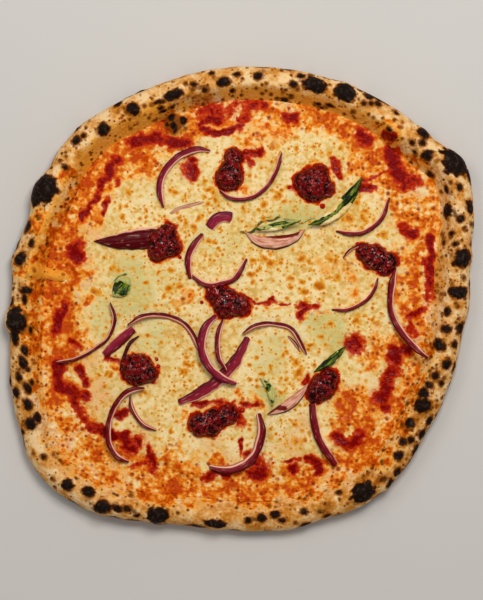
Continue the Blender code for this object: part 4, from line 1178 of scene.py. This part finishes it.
def make_petal(name, outline, width, thickness, arch, tone, pale, points, material):
    """A flat piece of onion with a dark skin side and grooves along it."""
    mesh = sheet_mesh(name.replace("onion", "red_onion"))
    places, run, side = bent_sheet(mesh, name, outline, width, thickness, arch, points, 0)
    groove = 0.12 * np.sin(side * 16 + 0.6 * rough(run, side, 4))
    places[:, 2] += groove * (1 - side**2)
    maroon = painted(*warped(*places.T[:2], 0.5, 2), MAROON_STROKES, 0.5)
    keep(mesh, across=-side, along=run * MM, film=0, tone=tone, pale=pale, maroon=maroon)
    return finish_piece(mesh, places, material, name)


def make_leaf(name, outline, width, thickness, arch, veil, points, material):
    """A wavy basil leaf with a folded middle, side veins and a veil of cheese at its edges."""
    mesh = sheet_mesh(name.replace("basil", "basil_leaf"))
    places, run, side = bent_sheet(mesh, name, outline, width, thickness, arch, points, LEAF_WAVE)
    folds = np.sin(side * 9 + 0.9 * rough(run, side, 5))
    places[:, 2] += 0.22 * folds * (1 - side**2) - 0.4 * bell(side / 0.25)
    x, y, _ = places.T
    moved = warped(x, y, 0.8, 2.5)
    keep(
        mesh, across=side, along=run * MM, covered=painted(*moved, LEAF_COVERED, 0.5),
        veil=np.clip(veil - painted(*moved, LEAF_SHOWS, 0.4), 0, 1),
        black=painted(*warped(x, y, 0.6, 2), LEAF_BLACK, 0.4),
    )
    return finish_piece(mesh, places, material, name)


# ----------------------------------------------------------------- materials


class Wiring:
    """Adds nodes to one tree and links them. A shade is a colour or a node's socket."""

    def __init__(self, tree):
        self.tree = tree

    def fill(self, made, inputs):
        """Links or sets a node's inputs, and gives the node back."""
        for key, value in inputs.items():
            if isinstance(value, bpy.types.NodeSocket):
                self.tree.links.new(value, made.inputs[key])
            else:
                made.inputs[key].default_value = value
        return made

    def node(self, kind, inputs, **settings):
        made = self.tree.nodes.new(kind)
        for name, value in settings.items():
            setattr(made, name, value)
        return self.fill(made, inputs)

    def math(self, operation, a, b=0.0, c=0.0):
        return self.node("ShaderNodeMath", {0: a, 1: b, 2: c}, operation=operation).outputs[0]

    def times(self, a, b):
        return self.math("MULTIPLY", a, b)

    def plus(self, base, value, share=1.0):
        """The base plus a share of the value."""
        return self.math("MULTIPLY_ADD", value, share, base)

    def rise(self, value, low, high, start=0.0, end=1.0):
        """A smooth rise from start to end as the value goes from low to high."""
        inputs = {"Value": value, "From Min": low, "From Max": high, "To Min": start, "To Max": end}
        return self.node("ShaderNodeMapRange", inputs, interpolation_type="SMOOTHSTEP").outputs["Result"]

    def mix(self, factor, *shades):
        """The first shade at a factor of 0 and the second at 1."""
        a, b = (shade if isinstance(shade, bpy.types.NodeSocket) else (*shade, 1) for shade in shades)
        return self.node("ShaderNodeMix", {0: factor, 6: a, 7: b}, data_type="RGBA").outputs[2]

    def cover(self, shade, over, value, low, high, most=1.0):
        """The shade, covered by another as the value goes from low to high."""
        return self.mix(self.rise(value, low, high, 0.0, most), shade, over)

    def noise(self, vector, size, detail=2.0):
        inputs = {"Vector": vector, "Scale": 1 / (size * MM), "Detail": detail}
        return self.node("ShaderNodeTexNoise", inputs).outputs["Fac"]

    def wobble(self, vector, size, detail=2.0):
        """Noise that goes to both sides of 0."""
        return self.math("SUBTRACT", self.noise(vector, size, detail), 0.5)

    def streaks(self, fine, wide):
        """Noise drawn out along a bent piece, by its own run and side."""
        along = self.times(self.attribute("along"), fine)
        across = self.times(self.attribute("across"), wide)
        flat = self.node("ShaderNodeCombineXYZ", {"X": along, "Y": across}).outputs[0]
        return self.noise(flat, 1 / MM)

    def attribute(self, name):
        return self.node("ShaderNodeAttribute", {}, attribute_name=name).outputs["Fac"]

    def ramp(self, value, *stops):
        """A colour ramp whose stops are a place and a colour."""
        made = self.node("ShaderNodeValToRGB", {"Fac": value})
        bar = made.color_ramp.elements
        while len(bar) < len(stops):
            bar.new(0.5)
        for element, (place, colour_there) in zip(bar, stops):
            element.position = place
            element.color = (*colour_there, 1)
        return made.outputs["Color"]

    def group(self, name, **inputs):
        return self.node("ShaderNodeGroup", inputs, node_tree=bpy.data.node_groups[name]).outputs

    def stained(self, vector, base, oil):
        """The stain group over a base, with this much oil and the piece's own sauce."""
        return self.group("Stain", Vector=vector, Base=base, Oil=oil, Sauce=self.attribute("sauce"))

    def specked(self, shade, ring, core, ring_depth, core_depth, **spots):
        """The shade with scattered spots, each a ring of one colour round a core of another."""
        mask = self.group("Specks", **spots)
        shade = self.mix(self.times(mask["Mask"], ring_depth), shade, ring)
        return self.mix(self.times(mask["Core"], core_depth), shade, core)


def new_group(name, inputs, outputs):
    """An empty node group with these sockets, and its wiring, entry and exit."""
    kinds = {"Vector": "NodeSocketVector", "Base": "NodeSocketColor", "Colour": "NodeSocketColor"}
    tree = bpy.data.node_groups.new(name, "ShaderNodeTree")
    for way, sockets in (("INPUT", inputs), ("OUTPUT", outputs)):
        for socket in sockets:
            kind = kinds.get(socket, "NodeSocketFloat")
            tree.interface.new_socket(socket, in_out=way, socket_type=kind)
    return Wiring(tree), tree.nodes.new("NodeGroupInput").outputs, tree.nodes.new("NodeGroupOutput")


def build_specks_group():
    """Round spots of uneven size, scattered so that only a share of the places has one."""
    wires, entry, leave = new_group("Specks", ("Vector", "Scale", "Size", "Share"), ("Mask", "Core"))
    place, scale = entry["Vector"], entry["Scale"]
    cells = wires.node("ShaderNodeTexVoronoi", {"Vector": place, "Scale": scale, "Randomness": 1.0}).outputs
    chance = wires.node("ShaderNodeSeparateColor", {"Color": cells["Color"]}).outputs
    fray = wires.node("ShaderNodeTexNoise", {"Vector": place, "Scale": wires.times(scale, 2.2)}).outputs
    frayed = wires.plus(wires.math("SUBTRACT", cells["Distance"], 0.18), fray["Fac"], 0.36)
    size = wires.times(entry["Size"], wires.rise(chance["Green"], 0.0, 1.0, 0.5, 1.35))
    there = wires.math("LESS_THAN", chance["Red"], entry["Share"])
    away = wires.math("DIVIDE", frayed, size)
    mask = wires.times(wires.rise(away, 1.3, 0.6), there)
    wires.fill(leave, {"Mask": mask, "Core": wires.times(wires.rise(away, 0.8, 0.2), there)})


def build_stain_group(colours):
    """Oil and sauce soaked into a surface, with the surface showing as curds, and dark specks."""
    wires, entry, leave = new_group("Stain", ("Vector", "Base", "Oil", "Sauce"), ("Colour", "Wet"))
    place = entry["Vector"]
    drift = wires.node("ShaderNodeTexNoise", {"Vector": place, "Scale": CURDS, "Detail": 1.0}).outputs
    drifted = {0: drift["Color"], 1: (4 * MM, 4 * MM, 4 * MM), 2: place}
    moved = wires.node("ShaderNodeVectorMath", drifted, operation="MULTIPLY_ADD").outputs[0]
    inputs = {"Vector": moved, "Scale": CURDS}
    cells = wires.node("ShaderNodeTexVoronoi", inputs, feature="SMOOTH_F1").outputs
    gaps = wires.math("SUBTRACT", cells["Distance"], 0.4)
    fine = wires.wobble(place, 2.4)
    broad = wires.wobble(place, 9)
    mottle = wires.plus(wires.times(fine, 1.5), gaps, 1.1)
    spread = wires.plus(mottle, broad, 2.2)
    oil = wires.plus(entry["Oil"], spread, wires.rise(entry["Oil"], 0.0, 0.5))
    orange = wires.ramp(
        wires.times(oil, 0.7), (0.12, colours.oil_light), (0.32, colours.oil), (0.55, colours.oil_deep),
        (0.85, colours.oil_dark),
    )
    soaked = wires.cover(entry["Base"], orange, oil, 0.09, 0.58)
    oily = wires.rise(entry["Oil"], 0.2, 0.6, 0.0, 0.8)
    soaked = wires.specked(
        soaked, colours.oil_dark, colours.speck, oily, oily, Vector=place, Scale=290.0, Size=0.42, Share=0.5
    )
    uneven = wires.plus(wires.plus(fine, gaps, 0.35), broad, 1.6)
    sauce = wires.plus(entry["Sauce"], uneven, wires.rise(entry["Sauce"], 0.0, 0.4, 0.0, 1.15))
    red = wires.ramp(sauce, (0.2, colours.sauce_light), (0.5, colours.sauce), (0.9, colours.sauce_deep))
    wet = wires.math("MAXIMUM", wires.rise(oil, 0.2, 0.7), wires.rise(sauce, 0.2, 0.6))
    wires.fill(leave, {"Colour": wires.cover(soaked, red, sauce, -0.06, 0.36), "Wet": wet})


def new_material(name, **constants):
    """A material with its wiring, its shader and Object coordinates."""
    material = bpy.data.materials.new(name)
    material.use_nodes = True
    wires = Wiring(material.node_tree)
    shader = material.node_tree.nodes["Principled BSDF"]
    wires.fill(shader, {key.replace("_", " "): value for key, value in constants.items()})
    return material, wires, shader, wires.node("ShaderNodeTexCoord", {}).outputs["Object"]


def surface(wires, shader, shade, roughness, height, distance):
    """Feeds the shader's colour and roughness, and its normal with a bump of this many millimetres."""
    bump = wires.node("ShaderNodeBump", {"Height": height, "Distance": distance * MM})
    wires.fill(shader, {"Base Color": shade, "Roughness": roughness, "Normal": bump.outputs["Normal"]})


def dough_look(colours):
    """Baked dough: cream with tan clouds, freckles, soaked oil, golden patches that are also painted light
    on slopes facing away from the key light, and char with painted grey glints.
    """
    material, wires, shader, place = new_material("dough_look", Specular_IOR_Level=0.05)
    steep = wires.node("ShaderNodeVectorMath", {0: place, 1: (1, 1, 0.5)}, operation="MULTIPLY").outputs[0]
    fine = wires.noise(place, 2.6, 3.0)
    grain = wires.math("SUBTRACT", fine, 0.5)
    freckles = wires.attribute("freckles")
    tone = wires.plus(wires.plus(-0.48, wires.noise(place, 9, 3.0), 1.2), fine, 0.7)
    tone = wires.plus(wires.plus(tone, wires.attribute("toast"), 0.42), freckles, 0.05)
    base = wires.ramp(
        tone, (0.36, colours.flour), (0.52, colours.dough), (0.72, colours.dough_tan),
        (0.98, colours.dough_toast),
    )
    stain = wires.stained(steep, base, wires.attribute("oil"))
    # Golden colour of oily dough, also painted light on slopes and bubbles that face away from the key
    # light.
    golden = wires.plus(wires.attribute("golden"), grain, 1.4)
    shade = wires.cover(stain["Colour"], colours.dough_golden, golden, 0.1, 0.8, 0.85)
    for scale, size, share, depth in RIM_SPECKS:
        shade = wires.specked(
            shade, colours.dough_toast, colours.speck, depth, depth,
            Vector=steep, Scale=scale, Size=size, Share=wires.times(freckles, share),
        )
    shade = wires.specked(
        shade, colours.dough_toast, colours.char_edge, 0.8, 0.85,
        Vector=place, Scale=75.0, Size=0.36, Share=wires.times(wires.attribute("under"), 0.5),
    )
    crisp = wires.wobble(place, 1.3)
    brown = wires.plus(wires.attribute("brown"), crisp, 0.4)
    char = wires.plus(wires.attribute("char"), crisp, 0.4)
    shade = wires.cover(shade, colours.char_edge, brown, 0.2, 1.0, 0.85)
    shade = wires.cover(shade, colours.dough_toast, char, 0.05, 0.42, 0.9)
    shade = wires.cover(shade, colours.char_edge, char, 0.3, 0.56)
    black = wires.rise(char, 0.46, 0.72)
    shade = wires.mix(black, shade, colours.char)
    # Painted highlight: grey patches on the black char in place of glossy glints.
    char_glint_mask = wires.times(black, wires.rise(wires.noise(place, 2.4), 0.52, 0.68, 0.0, 0.5))
    shade = wires.mix(char_glint_mask, shade, colours.ash)
    dull = wires.plus(wires.rise(stain["Wet"], 0.0, 1.0, 0.8, 0.45), grain, 0.8)
    pits = wires.plus(fine, wires.noise(place, 1.0), 0.5)
    surface(wires, shader, shade, wires.plus(dull, black, -0.25), pits, 0.8)
    return material


def sauce_look(colours):
    """Cooked tomato under a thin skin of oil and curds of cheese."""
    material, wires, shader, place = new_material("sauce_look", Specular_IOR_Level=0.05)
    curds = wires.rise(wires.noise(place, 6), 0.35, 0.65)
    base = wires.mix(curds, colours.cheese_thin, colours.cheese_light)
    stain = wires.stained(place, base, wires.attribute("oil"))
    shine = wires.rise(wires.noise(place, 4), 0.3, 0.7, 0.15, 0.35)
    lumps = wires.plus(wires.noise(place, 1.5), wires.noise(place, 3.6, 1.5))
    surface(wires, shader, stain["Colour"], shine, lumps, 0.8)
    return material


def cheese_base(wires, place, colours):
    """Milky cream with deeper hollows."""
    cloud = wires.plus(-0.5, wires.noise(place, 15), 0.7)
    tone = wires.plus(cloud, wires.noise(place, 3.6, 3.0), 1.3)
    return wires.ramp(
        tone, (0.28, colours.cheese_deep), (0.44, colours.cheese), (0.66, colours.cheese_light)
    )


def cheese_look(colours):
    """Melted cheese: milky cream, golden blisters, thin tinted patches, oil, sauce and green."""
    material, wires, shader, place = new_material(
        "cheese_look", Specular_IOR_Level=0.07, Subsurface_Weight=0.1, Subsurface_Radius=(1.0, 0.6, 0.25),
        Subsurface_Scale=1.5 * MM,
    )
    fine = wires.noise(place, 3.6, 3.0)
    grain = wires.math("SUBTRACT", fine, 0.5)
    thin = wires.attribute("thin")
    green = wires.plus(wires.attribute("green"), grain, 1.2)
    shade = cheese_base(wires, place, colours)
    shade = wires.cover(shade, colours.cheese_thin, wires.plus(thin, grain, 2.4), 0.1, 1.1, 0.9)
    shade = wires.cover(shade, colours.cheese_green, green, 0.1, 1.0, 0.8)
    shade = wires.cover(shade, colours.leaf, green, 1.1, 1.8, 0.9)
    crowd = wires.rise(wires.attribute("spotted"), 0.0, 1.0, 0.26, 0.75)
    for scale, size, depth in CHEESE_SPECKS:
        shade = wires.specked(
            shade, colours.gold, colours.brown, depth, 0.9 * depth,
            Vector=place, Scale=scale, Size=size, Share=crowd,
        )
    gold = wires.plus(wires.attribute("gold"), wires.wobble(place, 1.6), 0.5)
    shade = wires.cover(shade, colours.gold, gold, 0.1, 0.45, 0.95)
    shade = wires.cover(shade, colours.brown, gold, 0.5, 1.1, 0.95)
    stain = wires.stained(place, shade, wires.plus(wires.attribute("oil"), thin, 0.32))
    shine = wires.rise(stain["Wet"], 0.0, 1.0, 0.38, 0.2)
    surface(wires, shader, stain["Colour"], shine, wires.plus(fine, wires.noise(place, 1.4), 0.4), 0.8)
    return material


def nduja_look(colours):
    """Soft sausage: wet grains with painted shade in the hollows between them, pale fatty streaks that also
    stand in for glints as painted highlight, redder where it thins out at its edge.
    """
    material, wires, shader, place = new_material(
        "nduja_look", Specular_IOR_Level=0.08, Coat_Roughness=0.04
    )
    grain = wires.wobble(place, 2.2)
    # Painted shade: the hollows between grains go near black.
    hollow = wires.plus(wires.attribute("hollow"), grain, 1.8)
    shade = wires.mix(wires.rise(hollow, 0.18, 0.66), colours.nduja, colours.nduja_dark)
    # Pale winding streaks, partly fat and partly painted highlight standing in for wet glints.
    winding = wires.math("ABSOLUTE", wires.wobble(place, 2.8, 1.0))
    fat_glint = wires.times(wires.rise(winding, 0.035, 0.0), wires.rise(wires.noise(place, 3.5), 0.5, 0.62))
    shade = wires.mix(wires.times(fat_glint, 0.7), shade, colours.nduja_light)
    edge = wires.plus(wires.attribute("edge"), grain, 1.2)
    shade = wires.cover(shade, colours.nduja_edge, edge, 0.2, 0.9)
    shine = wires.rise(wires.noise(place, 2.2), 0.3, 0.7, 0.08, 0.2)
    surface(wires, shader, shade, shine, wires.noise(place, 2.8, 1.0), 1.3)
    wires.fill(shader, {"Coat Weight": wires.rise(wires.noise(place, 2.0), 0.56, 0.62, 0.0, 0.7)})
    return material


def onion_look(colours):
    """Red onion: dark skin side, purple flesh with fine lines along it, a pale line and film."""
    material, wires, shader, _ = new_material("onion_look", Specular_IOR_Level=0.09)
    tone = wires.attribute("tone")
    lines = wires.math("SUBTRACT", wires.streaks(120.0, 3.0), 0.5)
    drift = wires.plus(wires.attribute("across"), lines, 0.3)
    shade = wires.mix(tone, colours.purple, colours.magenta)
    shade = wires.cover(shade, colours.skin, tone, 0.0, -1.0)
    shade = wires.cover(shade, colours.skin, lines, 0.02, 0.2, 0.6)
    inner = wires.times(wires.rise(drift, 0.5, -0.5), wires.rise(tone, -0.6, 0.1, 0.0, 0.5))
    shade = wires.mix(inner, shade, colours.rosy)
    shade = wires.cover(shade, colours.flesh, lines, -0.06, -0.22, 0.35)
    shade = wires.cover(shade, colours.skin, drift, 0.3, 1.1, 0.8)
    inward = wires.math("SUBTRACT", drift, wires.plus(-1.0, wires.attribute("film"), 1.2))
    shade = wires.cover(shade, colours.film, inward, -0.05, -0.25, 0.9)
    shade = wires.cover(shade, colours.flesh, wires.math("ABSOLUTE", inward), 0.27, 0.08)
    veined = wires.mix(wires.rise(lines, -0.12, 0.18, 0.1, 0.85), colours.flesh, colours.film)
    pale = wires.times(wires.attribute("pale"), wires.rise(drift, 0.85, 0.6))
    shade = wires.mix(pale, shade, veined)
    maroon = wires.plus(wires.attribute("maroon"), lines, 0.6)
    shade = wires.cover(shade, colours.maroon, maroon, 0.2, 0.6)
    surface(wires, shader, shade, wires.rise(lines, -0.2, 0.2, 0.2, 0.4), lines, 0.4)
    return material


def basil_look(colours):
    """Basil: dark glossy green, lighter veins along it, black where scorched, veiled by cheese."""
    material, wires, shader, place = new_material("basil_look", Specular_IOR_Level=0.15)
    grain = wires.wobble(place, 2.0, 3.0)
    veins = wires.streaks(110.0, 2.6)
    middle = wires.math("ABSOLUTE", wires.plus(wires.attribute("across"), grain, 0.5))
    midrib = wires.rise(middle, 0.14, 0.04, 0.0, 0.7)
    light = wires.math("MAXIMUM", wires.rise(wires.plus(veins, grain, 0.3), 0.48, 0.66), midrib)
    shade = wires.mix(light, colours.leaf, colours.leaf_light)
    black = wires.plus(wires.attribute("black"), grain, 0.8)
    shade = wires.cover(shade, colours.leaf_black, black, 0.3, 0.7, 0.95)
    ragged = wires.wobble(place, 2.6, 3.0)
    veil = wires.attribute("veil")
    veil = wires.plus(veil, ragged, wires.rise(veil, 0.0, 0.3, 0.0, 2.6))
    milky = wires.mix(wires.rise(veins, 0.4, 0.7, 0.0, 0.45), colours.cheese_green, colours.cheese)
    shade = wires.cover(shade, milky, veil, 0.25, 0.6, 0.9)
    covered = wires.plus(wires.attribute("covered"), ragged, 1.6)
    shade = wires.cover(shade, cheese_base(wires, place, colours), covered, 0.25, 0.5)
    shine = wires.rise(grain, -0.2, 0.2, 0.25, 0.45)
    surface(wires, shader, shade, shine, wires.plus(grain, veins, 1.5), 0.4)
    return material


def look(context, make):
    """The material that a function makes, made once and after the shared groups."""
    colours = context.scene.pizza_colours
    if "Specks" not in bpy.data.node_groups:
        build_specks_group()
        build_stain_group(colours)
    return bpy.data.materials.get(make.__name__) or make(colours)


# ----------------------------------------------------------------- operators


class PIZZA_OT_stage(bpy.types.Operator):
    """Set up the floor, the soft light and the camera"""

    bl_idname = "pizza.stage"
    bl_label = "Stage"

    def execute(self, context):
        stage = context.scene.pizza_stage
        scene = context.scene
        scene.view_settings.view_transform = "Standard"
        bm = bmesh.new()
        bmesh.ops.create_grid(bm, x_segments=1, y_segments=1, size=FLOOR_REACH)
        mesh = mesh_of(bm, "floor")
        material, wires, shader, place = new_material("floor", Roughness=0.9, Specular_IOR_Level=0.1)
        soft = wires.rise(wires.noise(place, 300), 0.3, 0.7, 0.0, 0.12)
        darker = [0.8 * channel for channel in stage.floor]
        wires.fill(shader, {"Base Color": wires.mix(soft, stage.floor, darker)})
        mesh.materials.append(material)
        floor = bpy.data.objects.new("floor", mesh)
        scene.collection.objects.link(floor)

        for name, power in (("key", stage.key_power), ("fill", stage.fill_power)):
            lamp = bpy.data.lights.new(name, "AREA")
            lamp.energy = power
            lamp.size = LAMP_SIZE
            light = bpy.data.objects.new(name, lamp)
            light.location = LAMP_PLACES[name]
            light.rotation_euler = (-Vector(LAMP_PLACES[name])).to_track_quat("-Z", "Y").to_euler()
            scene.collection.objects.link(light)
        world = bpy.data.worlds.new("sky")
        world.use_nodes = True
        background = world.node_tree.nodes["Background"].inputs
        background["Color"].default_value = (1, 1, 1, 1)
        background["Strength"].default_value = stage.sky
        scene.world = world

        eye = bpy.data.cameras.new("camera")
        eye.lens = stage.lens
        camera = bpy.data.objects.new("camera", eye)
        camera.location = (*CAMERA_PLACE, stage.distance)
        scene.collection.objects.link(camera)
        scene.camera = camera
        return {"FINISHED"}


class PIZZA_OT_crust(bpy.types.Operator):
    """Make the puffed crust with its blisters, char and soaked oil"""

    bl_idname = "pizza.crust"
    bl_label = "Crust"

    def execute(self, context):
        make_crust(context.scene.pizza_sizes, look(context, dough_look))
        return {"FINISHED"}


class PIZZA_OT_sauce(bpy.types.Operator):
    """Make the layer of tomato sauce"""

    bl_idname = "pizza.sauce"
    bl_label = "Sauce"

    def execute(self, context):
        make_sauce(context.scene.pizza_sizes, look(context, sauce_look))
        return {"FINISHED"}


class PIZZA_OT_cheese(bpy.types.Operator):
    """Make the melted cheese with its browned spots and openings"""

    bl_idname = "pizza.cheese"
    bl_label = "Cheese"

    def execute(self, context):
        make_cheese(context.scene.pizza_sizes, look(context, cheese_look))
        return {"FINISHED"}


class PIZZA_OT_nduja(bpy.types.Operator):
    """Make the dollops of nduja"""

    bl_idname = "pizza.nduja"
    bl_label = "Nduja"

    def execute(self, context):
        sizes, material = context.scene.pizza_sizes, look(context, nduja_look)
        for number, (lumps, crumbs) in enumerate(zip(DOLLOPS, NDUJA_CRUMBS), 1):
            make_dollop(f"nduja_{number}", lumps, crumbs, sizes, material)
        return {"FINISHED"}


class PIZZA_OT_onion(bpy.types.Operator):
    """Make the strips and flat pieces of red onion"""

    bl_idname = "pizza.onion"
    bl_label = "Red onion"

    def execute(self, context):
        material = look(context, onion_look)
        for number, strip in enumerate(ONION_STRIPS, 1):
            make_strip(f"onion_{number:02}", *strip, material)
        for number, sheet in enumerate(ONION_SHEETS, len(ONION_STRIPS) + 1):
            make_petal(f"onion_{number:02}", *sheet, material)
        return {"FINISHED"}


class PIZZA_OT_basil(bpy.types.Operator):
    """Make the pieces of basil"""

    bl_idname = "pizza.basil"
    bl_label = "Basil"

    def execute(self, context):
        for number, leaf in enumerate(BASIL_LEAVES, 1):
            make_leaf(f"basil_{number}", *leaf, look(context, basil_look))
        return {"FINISHED"}


OPERATORS = (
    PIZZA_OT_stage, PIZZA_OT_crust, PIZZA_OT_sauce, PIZZA_OT_cheese, PIZZA_OT_nduja, PIZZA_OT_onion,
    PIZZA_OT_basil,
)


class PIZZA_PT_pieces(bpy.types.Panel):
    """The pieces of the pizza, in the order in which they are made"""

    bl_label = "Pizza"
    bl_idname = "PIZZA_PT_pieces"
    bl_space_type = "VIEW_3D"
    bl_region_type = "UI"
    bl_category = "Pizza"

    def draw(self, context):
        for operator in OPERATORS:
            self.layout.operator(operator.bl_idname)


SETTINGS = {"pizza_colours": PizzaColours, "pizza_sizes": PizzaSizes, "pizza_stage": PizzaStage}
CLASSES = (*SETTINGS.values(), *OPERATORS, PIZZA_PT_pieces)


def register():
    for kind in CLASSES:
        bpy.utils.register_class(kind)
    for name, kind in SETTINGS.items():
        setattr(bpy.types.Scene, name, PointerProperty(type=kind))


def unregister():
    for name in SETTINGS:
        delattr(bpy.types.Scene, name)
    for kind in reversed(CLASSES):
        bpy.utils.unregister_class(kind)


def main():
    register()
    for step in ("stage", "crust", "sauce", "cheese", "nduja", "onion", "basil"):
        getattr(bpy.ops.pizza, step)()


if __name__ == "__main__":
    main()
